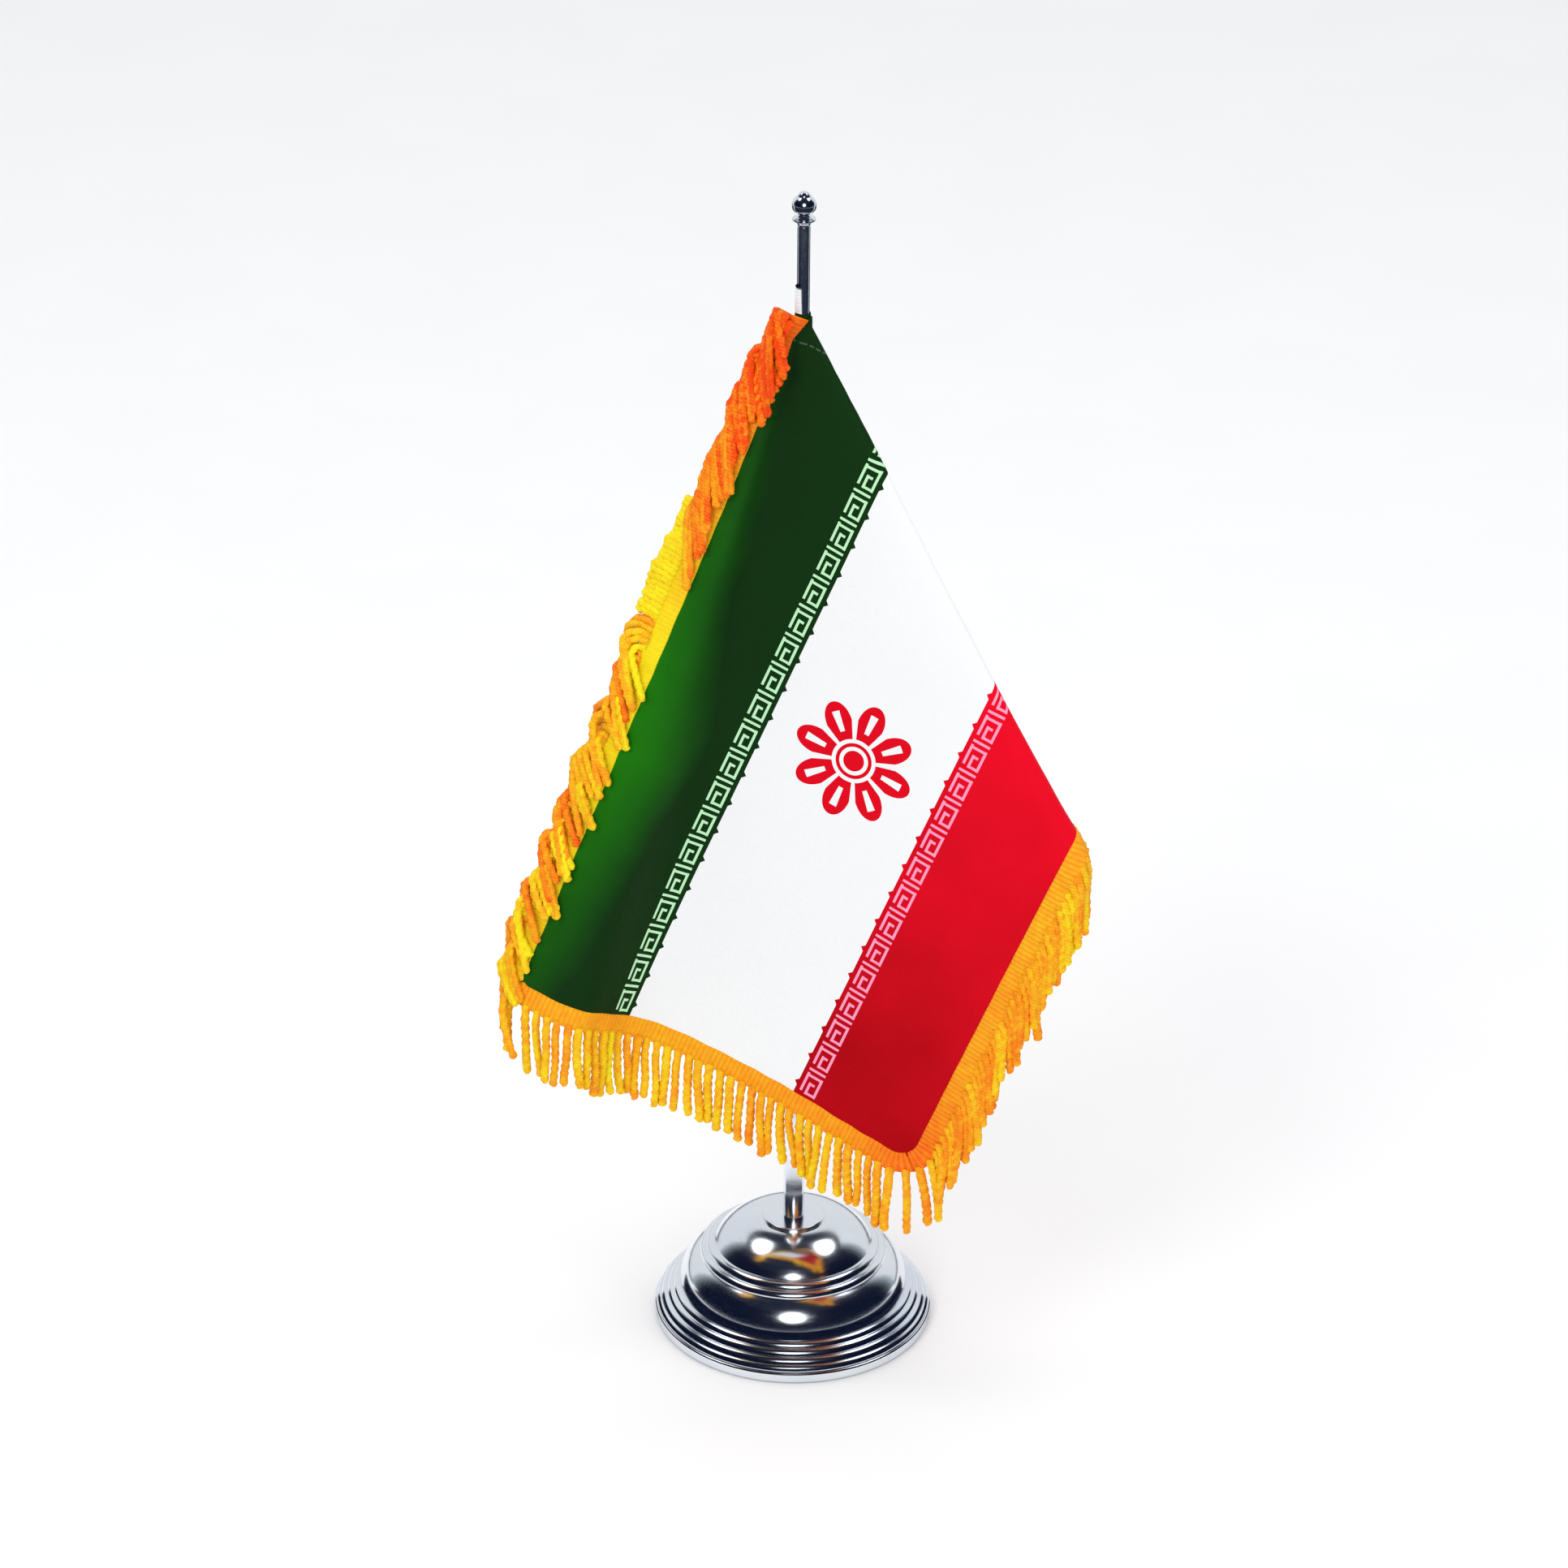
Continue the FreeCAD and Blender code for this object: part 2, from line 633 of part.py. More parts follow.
def curtain(points, drop, thickness):
    """Fringe that hangs straight down from a line of points."""
    sections = []
    for i, point in enumerate(points):
        ahead = points[min(i + 1, len(points) - 1)]
        behind = points[max(i - 1, 0)]
        run = ahead - behind
        side = Vector(-run.y, run.x, 0).normalize() * (thickness / 2)
        start = point - Vector(0, 0, FRINGE_GAP)
        sections.append(slab_section(start, start - Vector(0, 0, drop), side))
    return loft(sections)


def make_fringes(doc, drape):
    """Twisted bullion fringe below the bottom and fly edges, and rolled along the top edge."""
    length = value_of(doc, "Dims.flag_length")
    height = value_of(doc, "Dims.flag_height")
    width = value_of(doc, "Dims.heading_width")
    drop = value_of(doc, "Dims.fringe_drop")
    thickness = value_of(doc, "Dims.fringe_thickness")
    bottom = [drape.place(x, height + width)[0] for x in bottom_edge(doc)]
    first = height - thickness
    fly_stations = [first] + [y for y in fly_edge(doc) if y < first - 1]
    fly = [drape.place(length + width, y)[0] for y in fly_stations]
    roll = []
    for x in spread(TOP_BRAID_START, length + width, TOP_STATIONS):
        start, normal = drape.place(x, -width - ROLL_GAP)
        end, _ = drape.place(x, -width * ROLL_REACH)
        roll.append(slab_section(start, end, normal * thickness * ROLL_FULLNESS))
    return {
        "bottom_fringe": curtain(bottom, drop, thickness),
        "fly_fringe": curtain(fly, drop, thickness),
        "top_fringe": loft(roll),
    }


def make_soft_pieces(doc):
    """The cloth pieces, each a closed solid."""
    drape = Drape(doc)
    shapes = {"flag_cloth": make_flag_cloth(doc, drape)}
    shapes.update(make_headings(doc, drape))
    shapes.update(make_fringes(doc, drape))
    pieces = []
    for name, shape in shapes.items():
        piece = doc.addObject("Part::Feature", name)
        piece.Shape = shape
        piece.Placement = Placement()
        pieces.append(piece)
    return pieces


def check_document(doc, pieces):
    """Stop on any failed feature or any empty or invalid shape."""
    for obj in doc.Objects:
        if "Invalid" in obj.State or "Error" in obj.State:
            raise RuntimeError(f"{obj.Name} failed: {obj.State}")
    for piece in pieces:
        shape = piece.Shape
        if shape.isNull() or not shape.isValid() or shape.Volume <= 0:
            raise RuntimeError(f"{piece.Label} has no valid solid")
        if len(shape.Solids) != 1:
            raise RuntimeError(f"{piece.Label} has {len(shape.Solids)} solids")


def main():
    doc = FreeCAD.newDocument("desk_flag_stand")
    make_sheet(doc)
    pieces = [make_base_shell(doc), make_base_ballast(doc), make_pole_disc(doc)]
    pieces += make_clamp_pieces(doc)
    pieces += make_base_closure(doc)
    pieces += [make_lower_tube(doc), make_grub_screw(doc), make_upper_rod(doc)]
    pieces += [make_flag_pin(doc)]
    pieces += make_finial(doc)
    pieces += [make_hanging_loop(doc), make_hoist_sleeve(doc)]
    pieces += make_soft_pieces(doc)
    doc.recompute()
    check_document(doc, pieces)
    os.makedirs("parts", exist_ok=True)
    for piece in pieces:
        piece.Shape.exportStep(f"parts/{piece.Label}.step")
        box = piece.Shape.BoundBox
        size = f"{piece.Shape.Volume:10.1f} mm3  z {box.ZMin:7.2f} {box.ZMax:7.2f}"
        print(f"{piece.Label:16s} {size}")


main()
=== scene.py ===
import bisect
import math
import random

import bmesh
import bpy
from mathutils import Matrix, Vector, noise


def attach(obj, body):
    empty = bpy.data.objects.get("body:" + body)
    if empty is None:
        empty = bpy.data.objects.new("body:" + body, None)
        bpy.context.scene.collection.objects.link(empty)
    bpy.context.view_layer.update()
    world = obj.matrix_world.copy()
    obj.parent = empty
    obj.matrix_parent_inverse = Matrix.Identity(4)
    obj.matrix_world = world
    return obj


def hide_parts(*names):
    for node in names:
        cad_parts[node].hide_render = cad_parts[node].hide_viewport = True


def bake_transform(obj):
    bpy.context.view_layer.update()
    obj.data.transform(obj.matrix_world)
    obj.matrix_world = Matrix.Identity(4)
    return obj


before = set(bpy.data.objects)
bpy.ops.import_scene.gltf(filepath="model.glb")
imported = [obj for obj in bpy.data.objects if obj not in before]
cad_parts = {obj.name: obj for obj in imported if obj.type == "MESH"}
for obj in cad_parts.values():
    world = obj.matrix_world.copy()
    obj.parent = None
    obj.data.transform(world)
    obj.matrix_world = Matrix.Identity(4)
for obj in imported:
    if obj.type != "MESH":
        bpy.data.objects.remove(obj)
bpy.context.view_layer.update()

MM = 0.001
random.seed(7)

# Camera: it looks down at the stand from the front, a little left of the pole (metres).
LENS, SENSOR_WIDTH = 127.12, 36.0
CAMERA_AT, CAMERA_DOWN, CAMERA_ROLL = (-0.0049, -1.690, 1.120), 28.148, 0.52

# Turned metal, as in the CAD. All sizes below are millimetres.
BASE_RADIUS, SHELL_FOOT, SHELL_TOP, SHELL_GAUGE, STUD_BORE = 50.0, 0.4, 39.2, 0.9, 2.6
DISC_TOP, TUBE_TOP, ROD_TOP = 40.35, 92.35, 423.9
COLLAR_FOOT, COLLAR_RADIUS, COLLAR_HEIGHT = 424.0, 3.87, 3.9
ACORN_RADIUS, ACORN_HEIGHT, FINIAL_BORE = 4.0, 7.8, 1.25
ACORN_GAP = 0.06    # keeps the turning acorn's foot off the collar

# The flag's cut, as in the CAD: x from the hoist and y down from the top edge.
FLAG_LENGTH, FLAG_HEIGHT = 258.0, 162.0
CORNER_HEIGHT = 392.9
CORNER = Vector((0.0, 0.0, CORNER_HEIGHT))
DRAPE_SLOPES = [(0.000, 0.000), (0.211, 0.099), (0.792, -0.484), (-0.114, -0.070),
                (-0.246, -0.121), (-0.302, -0.206), (-0.410, -0.157)]
DRAPE_SAMPLES = 600
CLOTH_HALF = 0.25
SLEEVE_CLEAR = 3.05
HEADING_WIDTH, HEADING_LAP = 6.0, 1.6
FRINGE_DROP, STRAND_RADIUS = 24.5, 1.66
CORNER_ROUND = 9.0
GREEN_TO_WHITE, WHITE_TO_RED = 0.302, 0.698
FRET_REPEATS, FRET_LINES = 22, 9.0
ROSETTE_AT, ROSETTE_REACH = (133.8, 81.2), 22.0

# Distances along the fringed edges, from the foot of the hoist: the bottom fly corner, the
# top fly corner and the hanging corner. The braid leaves the cloth APEX_CLEAR before it.
TOP_ROUND = CORNER_ROUND * 0.6
LOW_TURN = FLAG_LENGTH - CORNER_ROUND + CORNER_ROUND * math.pi / 4
HIGH_TURN = (LOW_TURN + CORNER_ROUND * math.pi / 4 + FLAG_HEIGHT - CORNER_ROUND * 1.6
             + TOP_ROUND * math.pi / 4)
EDGE_END = HIGH_TURN + TOP_ROUND * math.pi / 4 + FLAG_LENGTH - TOP_ROUND
APEX_CLEAR = 9.0

# The top fringe hangs over the front near the pole, folds behind up to BEHIND_END and then
# hangs in clumps. Both ends are shares of the top edge, from the pole.
FRONT_END, BEHIND_END, CLUMP_LENGTH = 0.29, 0.46, 17.0
PIN_AZIMUTH, LOOP_FOOT, LOOP_LENGTH = -135, 393.3, 8.7

# Studio cards, which only reflections see: they paint the dark and bright reflections and light
# nothing.
DOME_RADIUS, HIGHLIGHT_CARD_RADIUS = 3000.0, 2600.0
NAVY, SLATE = (0.004, 0.007, 0.022), (0.010, 0.016, 0.035)


# ---------------------------------------------------------------- camera

def make_camera():
    data = bpy.data.cameras.new("camera")
    data.lens, data.sensor_width, data.clip_end = LENS, SENSOR_WIDTH, 60.0
    obj = bpy.data.objects.new("camera", data)
    bpy.context.scene.collection.objects.link(obj)
    pitch, roll = math.radians(90 - CAMERA_DOWN), math.radians(CAMERA_ROLL)
    turn = Matrix.Rotation(pitch, 4, "X") @ Matrix.Rotation(roll, 4, "Z")
    obj.matrix_world = Matrix.Translation(CAMERA_AT) @ turn
    bpy.context.scene.camera = obj


# ---------------------------------------------------------------- shader helpers

class Field:
    """A shader value that can be added, multiplied and compared like a number."""

    def __init__(self, tree, socket):
        self.tree, self.socket = tree, socket

    def op(self, kind, *others):
        node = self.tree.nodes.new("ShaderNodeMath")
        node.operation = kind
        for slot, value in zip(node.inputs, (self,) + others):
            if isinstance(value, Field):
                self.tree.links.new(value.socket, slot)
            else:
                slot.default_value = value
        return Field(self.tree, node.outputs[0])

    def __add__(self, other):
        return self.op("ADD", other)

    def __sub__(self, other):
        return self.op("SUBTRACT", other)

    def __mul__(self, other):
        return self.op("MULTIPLY", other)

    def __lt__(self, other):
        return self.op("LESS_THAN", other)

    def __gt__(self, other):
        return self.op("GREATER_THAN", other)

    def abs(self):
        return self.op("ABSOLUTE")

    def either(self, other):
        return self.op("MAXIMUM", other)

    def within(self, centre, half):
        return (self - centre).abs() < half


class Look:
    """A node material built step by step."""

    def __init__(self, name, **settings):
        self.material = bpy.data.materials.new(name)
        self.material.use_nodes = True
        self.tree = self.material.node_tree
        self.shader = self.tree.nodes["Principled BSDF"]
        for key, value in settings.items():
            self.shader.inputs[key.replace("_", " ")].default_value = value

    def node(self, kind, **settings):
        made = self.tree.nodes.new(kind)
        for key, value in settings.items():
            setattr(made, key, value)
        return made

    def link(self, source, target):
        self.tree.links.new(source.socket if isinstance(source, Field) else source, target)

    def coordinates(self, stretch=(1, 1, 1), output="Object"):
        mapping = self.node("ShaderNodeMapping")
        mapping.inputs["Scale"].default_value = stretch
        self.link(self.node("ShaderNodeTexCoord").outputs[output], mapping.inputs["Vector"])
        return mapping.outputs["Vector"]

    def noise(self, scale, detail=3.0, stretch=(1, 1, 1), output="Object"):
        made = self.node("ShaderNodeTexNoise")
        made.inputs["Scale"].default_value = scale
        made.inputs["Detail"].default_value = detail
        self.link(self.coordinates(stretch, output), made.inputs["Vector"])
        return Field(self.tree, made.outputs["Fac"])

    def spread(self, field, low, high, start=0.35, end=0.65):
        """The field between start and end, stretched to run from low to high."""
        made = self.node("ShaderNodeMapRange")
        for key, value in (("From Min", start), ("From Max", end),
                           ("To Min", low), ("To Max", high)):
            made.inputs[key].default_value = value
        self.link(field, made.inputs["Value"])
        return Field(self.tree, made.outputs["Result"])

    def mix(self, share, first, second):
        """Colours or colour sockets mixed by a share."""
        made = self.node("ShaderNodeMix", data_type="RGBA")
        self.link(share, made.inputs["Factor"])
        for value, slot in ((first, made.inputs["A"]), (second, made.inputs["B"])):
            if isinstance(value, tuple):
                slot.default_value = (*value, 1.0)
            else:
                self.link(value, slot)
        return made.outputs["Result"]

    def colour(self, source):
        self.link(source, self.shader.inputs["Base Color"])

    def roughness(self, field):
        self.link(field, self.shader.inputs["Roughness"])

    def bump(self, field, strength, distance):
        made = self.node("ShaderNodeBump")
        made.inputs["Strength"].default_value = strength
        made.inputs["Distance"].default_value = distance
        self.link(field, made.inputs["Height"])
        if self.shader.inputs["Normal"].is_linked:
            self.link(self.shader.inputs["Normal"].links[0].from_socket,
                      made.inputs["Normal"])
        self.link(made.outputs["Normal"], self.shader.inputs["Normal"])

    def attribute(self, name):
        return Field(self.tree, self.node("ShaderNodeAttribute",
                                          attribute_name=name).outputs["Fac"])

    def uv(self):
        split = self.node("ShaderNodeSeparateXYZ")
        self.link(self.node("ShaderNodeTexCoord").outputs["UV"], split.inputs[0])
        return [Field(self.tree, split.outputs[i]) for i in range(2)]


def metal_look(name, colour, dull, roughness, patch=60.0, bump=0.0):
    """Metal with cloudy stains, fine scratches and, where it is cast, a rough skin."""
    look = Look(name, Metallic=1.0)
    stains = look.spread(look.noise(patch, 5.0), 0.0, 1.0, 0.42, 0.72)
    look.colour(look.mix(stains, colour, dull))
    scratches = look.noise(900.0, 2.0, (1.0, 1.0, 0.08))
    look.roughness(look.spread(scratches + stains * 0.3, *roughness, 0.4, 1.0))
    if bump:
        look.bump(look.noise(700.0, 6.0), 0.6, bump)
    return look.material


def chrome_look():
    """Bright plating with a faint haze and fine hairlines."""
    look = Look("chrome_plating", Metallic=1.0)
    haze = look.spread(look.noise(38.0, 4.0), 0.0, 1.0, 0.45, 0.7)
    look.colour(look.mix(haze, (0.86, 0.90, 0.95), (0.78, 0.84, 0.92)))
    hairlines = look.noise(1500.0, 1.0, (0.05, 0.05, 1.0))
    look.roughness(look.spread(hairlines + haze * 0.2, 0.14, 0.20, 0.4, 0.9))
    look.bump(look.noise(160.0, 2.0), 0.02, 0.0002)
    return look.material


def felt_look():
    """Dark green felt with a fuzzy nap."""
    look = Look("green_felt", Roughness=1.0, Sheen_Weight=0.6, Sheen_Roughness=0.5)
    fuzz = look.spread(look.noise(1400.0, 6.0), 0.0, 1.0)
    look.colour(look.mix(fuzz, (0.006, 0.016, 0.010), (0.03, 0.06, 0.04)))
    look.bump(look.noise(900.0, 8.0), 0.9, 0.0004)
    return look.material


def tape_look():
    """White ribbed tape, its grooves painted darker as painted shade."""
    look = Look("white_tape", Roughness=0.7, Sheen_Weight=0.3)
    ribs = look.node("ShaderNodeTexWave", bands_direction="Z")
    ribs.inputs["Scale"].default_value = 330.0
    look.link(look.coordinates(), ribs.inputs["Vector"])
    rib_relief_and_shade = Field(look.tree, ribs.outputs["Fac"])
    # Painted shade: the grooves between the ribs are painted greyer than the crests.
    look.colour(look.mix(rib_relief_and_shade, (0.72, 0.74, 0.78), (0.92, 0.93, 0.95)))
    look.bump(rib_relief_and_shade, 0.5, 0.0002)
    return look.material


def union(fields):
    """One where any of the fields is one."""
    total = fields[0]
    for field in fields[1:]:
        total = total.either(field)
    return total


def key_fret(u, v):
    """One running key of a meander, u along and v across, both in line widths."""
    bars = [
        (3.30, 0.55, 3.00, 0.36), (1.00, 2.60, 0.36, 2.10), (3.70, 4.65, 3.14, 0.36),
        (6.40, 3.40, 0.36, 1.40), (4.85, 2.10, 1.95, 0.36), (3.35, 2.80, 0.36, 0.75),
        (8.15, 2.60, 0.36, 2.45),
    ]
    return union([u.within(cu, hu) * v.within(cv, hv) for cu, cv, hu, hv in bars])


def rosette(x, y):
    """Eight-petalled rosette, drawn as petals with a slit round a small ringed disc."""
    dx, dy = x - ROSETTE_AT[0], y - ROSETTE_AT[1]
    radius = (dx * dx + dy * dy).op("SQRT") * (1.0 / ROSETTE_REACH)
    petals = (dy.op("ARCTAN2", dx) * 4.0).op("COSINE").abs()
    edge = petals.op("POWER", 0.55) * 0.66 + 0.34
    petal = (radius < edge) * (radius > 0.36) * (petals > 0.30)
    slit = (petals > 0.955) * (radius > 0.50) * (radius < 0.84)
    disc = (radius < 0.17).either((radius > 0.235) * (radius < 0.295))
    return (petal - slit).either(disc)


def satin_look():
    """Printed satin: three stripes, two fret borders with studs, and a rosette, with a painted
    sheen on the green and a painted shade on the red that deepens towards the fly.
    """
    look = Look("flag_satin", Specular_IOR_Level=0.05)
    u, v = look.uv()
    x, y = u * FLAG_LENGTH, v * FLAG_HEIGHT
    upper, lower = FLAG_HEIGHT * GREEN_TO_WHITE, FLAG_HEIGHT * WHITE_TO_RED
    repeat = FLAG_LENGTH / FRET_REPEATS
    unit = repeat / FRET_LINES
    along = (x * (1.0 / repeat)).op("FRACT") * FRET_LINES
    fret_green = key_fret(along, (y - (upper - 8.2)) * (1.0 / unit))
    fret_red = key_fret(along, (y - (lower + 1.4)) * (1.0 / unit))
    stud = (x * (1.0 / repeat)).op("FRACT").op("SUBTRACT", 0.5).abs() * repeat
    stud_green = (stud + (y - upper).abs()) < 1.25
    stud_red = (stud + (y - lower).abs()) < 1.25
    cloud = look.spread(look.noise(24.0, 3.0), -0.25, 0.25, 0.3, 0.75)
    # Painted sheen: the green is paler along the top edge, most around 165 mm from the hoist, and
    # darker towards the white stripe, with random clouding.
    sheen = (x - 165.0).abs() * (-1.0 / 130.0) - y * (1.0 / 26.0) + cloud * 0.5
    lit = look.spread(sheen, 0.0, 1.0, -1.3, -0.05)
    # Painted shade: the red darkens towards the fly, with random clouding.
    painted_shade_red = look.spread(x * (1.0 / FLAG_LENGTH) + cloud * 0.5, 0.0, 1.0, 0.25, 1.0)
    green = look.mix(lit, (0.006, 0.034, 0.006), (0.012, 0.190, 0.003))
    white = look.mix(cloud, (0.86, 0.87, 0.87), (0.90, 0.91, 0.91))
    red = look.mix(painted_shade_red, (0.88, 0.002, 0.018), (0.40, 0.0, 0.004))
    paint = look.mix((y < upper).either(stud_green), white, green)
    paint = look.mix((y > lower).either(stud_red), paint, red)
    paint = look.mix(fret_green, paint, (0.50, 0.84, 0.50))
    paint = look.mix(fret_red, paint, (0.95, 0.32, 0.50))
    paint = look.mix(rosette(x, y), paint, (0.72, 0.001, 0.012))
    stitch = x.within(9.0, 0.28) * ((y * (1.0 / 2.6)).op("FRACT") > 0.32)
    paint = look.mix(stitch * 0.2, paint, (0.35, 0.35, 0.32))
    look.colour(paint)
    floats = look.noise(1.0, 2.0, (420.0, 2600.0, 1.0), "UV")
    look.roughness(look.spread(floats, 0.38, 0.58))
    look.bump(floats, 0.22, 0.00012)
    warp = look.node("ShaderNodeTexWave", bands_direction="X")
    warp.inputs["Scale"].default_value = 150.0
    look.link(look.coordinates((1, 1, 1), "UV"), warp.inputs["Vector"])
    look.bump(Field(look.tree, warp.outputs["Fac"]), 0.10, 0.0001)
    return look.material


def gold_look(name, ribs, mottled):
    """Shiny gold yarn, coloured by a point attribute that mixes random variation with painted
    light and shade: orange stands in for yarn in shade and in the folds, yellow for lit yarn.
    """
    look = Look(name, Specular_IOR_Level=0.12, Sheen_Weight=0.05, Sheen_Roughness=0.35)
    look.shader.inputs["Sheen Tint"].default_value = (1.0, 0.75, 0.2, 1.0)
    u, v = look.uv()
    yarn = (u * ribs + v * 3.0).op("FRACT").op("SUBTRACT", 0.5).abs() * 2.0
    mottle = look.spread(look.noise(420.0, 3.0), -mottled, mottled)
    # The rib valleys are painted oranger than the rib crests: painted shade. The mottle is random
    # variation.
    tone_and_shade = look.attribute("tone_and_shade") + mottle + yarn * 0.16 - 0.08
    deep = look.mix(look.spread(tone_and_shade, 0.0, 1.0, 0.0, 0.5),
                    (0.92, 0.070, 0.004), (0.95, 0.36, 0.010))
    look.colour(look.mix(look.spread(tone_and_shade, 0.0, 1.0, 0.5, 1.0), deep, (0.93, 0.78, 0.010)))
    look.roughness(look.spread(yarn + tone_and_shade * 0.2, 0.34, 0.62, 0.0, 1.2))
    look.bump(yarn, 0.55, 0.00025)
    return look.material


# ---------------------------------------------------------------- mesh helpers

def add_object(name, points, faces, material, body, uvs=None, tone_and_shade_values=None, closed=True):
    """Mesh piece from millimetre points, riding on a CAD body."""
    mesh = bpy.data.meshes.new(name)
    mesh.from_pydata([tuple(c * MM for c in p) for p in points], [], faces)
    if uvs:
        layer = mesh.uv_layers.new(name="Flat")
        for loop in mesh.loops:
            layer.data[loop.index].uv = uvs[loop.vertex_index]
    if tone_and_shade_values:
        values = mesh.attributes.new("tone_and_shade", "FLOAT", "POINT")
        values.data.foreach_set("value", tone_and_shade_values)
    mesh.polygons.foreach_set("use_smooth", [True] * len(mesh.polygons))
    mesh.materials.append(material)
    if closed:
        shell = bmesh.new()
        shell.from_mesh(mesh)
        bmesh.ops.recalc_face_normals(shell, faces=shell.faces)
        shell.to_mesh(mesh)
        shell.free()
    mesh.update()
    obj = bpy.data.objects.new(name, mesh)
    bpy.context.scene.collection.objects.link(obj)
    if body:
        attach(obj, body)
    return obj


def grid_faces(rows, columns, wrap=False):
    """Quads over rows x columns points, stored row by row; wrap joins the last column
    to the first."""
    faces = []
    for i in range(rows - 1):
        a, b = i * columns, (i + 1) * columns
        for j in range(columns if wrap else columns - 1):
            after = (j + 1) % columns
            faces.append((a + j, b + j, b + after, a + after))
    return faces


def slab_faces(rows, columns):
    """Faces of a closed slab: a grid of front points, the same grid of back points, and
    the rim between them."""
    count = rows * columns
    front = grid_faces(rows, columns)
    rim = list(range(columns)) + [columns * i + columns - 1 for i in range(1, rows)]
    rim += [columns * (rows - 1) + j for j in range(columns - 2, -1, -1)]
    rim += [columns * i for i in range(rows - 2, 0, -1)]
    edges = [(a, b, count + b, count + a) for a, b in zip(rim, rim[1:] + rim[:1])]
    return front + [tuple(count + v for v in reversed(face)) for face in front] + edges


def arc_points(start, end, bulge, steps):
    """Points along an arc in the (radius, height) half plane, its end left out."""
    if not bulge:
        return [start]
    (r0, z0), (r1, z1) = start, end
    chord = math.hypot(r1 - r0, z1 - z0)
    side = ((z1 - z0) / chord, (r0 - r1) / chord)
    radius = chord * (0.25 + bulge * bulge) / (2 * abs(bulge))
    sagitta = abs(bulge) * chord
    sign = 1 if bulge > 0 else -1
    half = math.asin(min(1.0, chord / 2 / radius))
    middle = ((r0 + r1) / 2, (z0 + z1) / 2)
    hub = [middle[k] - side[k] * sign * (radius - sagitta) for k in range(2)]
    along = ((r1 - r0) / chord, (z1 - z0) / chord)
    out = []
    for i in range(steps):
        angle = -half + 2 * half * i / steps
        out.append(tuple(hub[k] + along[k] * radius * math.sin(angle)
                         + side[k] * sign * radius * math.cos(angle) for k in range(2)))
    return out


def soften(profile, reach):
    """Round a profile's corners: each sharp point becomes a short three-point bend."""
    out = []
    count = len(profile)
    for i, point in enumerate(profile):
        before, after = Vector(profile[i - 1]), Vector(profile[(i + 1) % count])
        here = Vector(point)
        back, ahead = before - here, after - here
        if back.length < 1e-6 or ahead.length < 1e-6 or here.x < 1e-6:
            out.append(tuple(here))
            continue
        bend = math.pi - back.angle(ahead)
        if bend < math.radians(18):
            out.append(tuple(here))
            continue
        step = min(reach, back.length * 0.4, ahead.length * 0.4)
        first, last = here + back.normalized() * step, here + ahead.normalized() * step
        for t in (0.0, 0.33, 0.67, 1.0):
            low, high = first.lerp(here, t), here.lerp(last, t)
            out.append(tuple(low.lerp(high, t)))
    return out


def lathe(name, outline, material, body, node, steps=12, reach=0.12, segments=160):
    """Turned piece from a closed outline of (radius, height, bulge), as in the CAD."""
    profile = []
    for i, (r, z, bulge) in enumerate(outline):
        following = outline[(i + 1) % len(outline)]
        profile += arc_points((r, z), following[:2], bulge, steps)
    profile = soften(profile, reach)
    points, faces, rows = [], [], []
    for r, z in profile:
        if r < 1e-6:
            rows.append([len(points)])
            points.append((0.0, 0.0, z))
            continue
        rows.append(list(range(len(points), len(points) + segments)))
        for k in range(segments):
            angle = 2 * math.pi * k / segments
            points.append((r * math.cos(angle), r * math.sin(angle), z))
    for i, row in enumerate(rows):
        other = rows[(i + 1) % len(rows)]
        if len(row) == 1 and len(other) == 1:
            continue
        for k in range(segments):
            after = (k + 1) % segments
            if len(row) == 1:
                faces.append((row[0], other[after], other[k]))
            elif len(other) == 1:
                faces.append((row[k], row[after], other[0]))
            else:
                faces.append((row[k], row[after], other[after], other[k]))
    obj = add_object(name, points, faces, material, body)
    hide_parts(node)
    return obj


# ---------------------------------------------------------------- turned metal

# Radius and height as shares of the base's, and the bulge of the arc to the next point.
BASE_RINGS = [
    (1.000, 0.082, 0.30), (0.984, 0.105, 0.22), (0.954, 0.166, 0.20), (0.910, 0.219, 0.20),
    (0.866, 0.273, 0.20), (0.822, 0.316, 0.13), (0.676, 0.643, 0.20), (0.628, 0.702, 0.20),
    (0.568, 0.758, 0.12), (0.224, 1.000, 0.0),
]


def make_base(chrome, felt):
    """Spun base shell, the disc on it and the felt under it."""
    outside = [(BASE_RADIUS, SHELL_FOOT, 0.0)]
    outside += [(BASE_RADIUS * r, SHELL_TOP * z, bulge) for r, z, bulge in BASE_RINGS]
    outside += [(STUD_BORE, SHELL_TOP, 0.0)]
    inside = [(STUD_BORE, SHELL_TOP - SHELL_GAUGE, 0.0)]
    for i in range(len(BASE_RINGS) - 1, -1, -1):
        r, z, _ = BASE_RINGS[i]
        bulge = -BASE_RINGS[i - 1][2] if i else 0.0
        inside.append((BASE_RADIUS * r - SHELL_GAUGE, SHELL_TOP * z - SHELL_GAUGE, bulge))
    inside.append((BASE_RADIUS - SHELL_GAUGE, SHELL_FOOT, 0.0))
    shell = lathe("chromed_base", outside + inside, chrome, "base", "base_shell",
                  steps=18, reach=0.35, segments=240)
    disc = lathe("chromed_disc", [
        (STUD_BORE, SHELL_TOP, 0.0), (11.25, SHELL_TOP, 0.0), (11.25, 39.95, 0.207),
        (10.85, DISC_TOP, 0.0), (STUD_BORE, DISC_TOP, 0.0)],
        chrome, "base", "pole_disc", steps=5)
    pad = lathe("felt_underside", [
        (0.0, 0.0, 0.0), (48.3, 0.0, 0.2), (48.6, 0.35, 0.1), (48.5, 0.95, 0.2),
        (48.2, 1.2, 0.0), (0.0, 1.2, 0.0)], felt, "base", "felt_pad", steps=4)


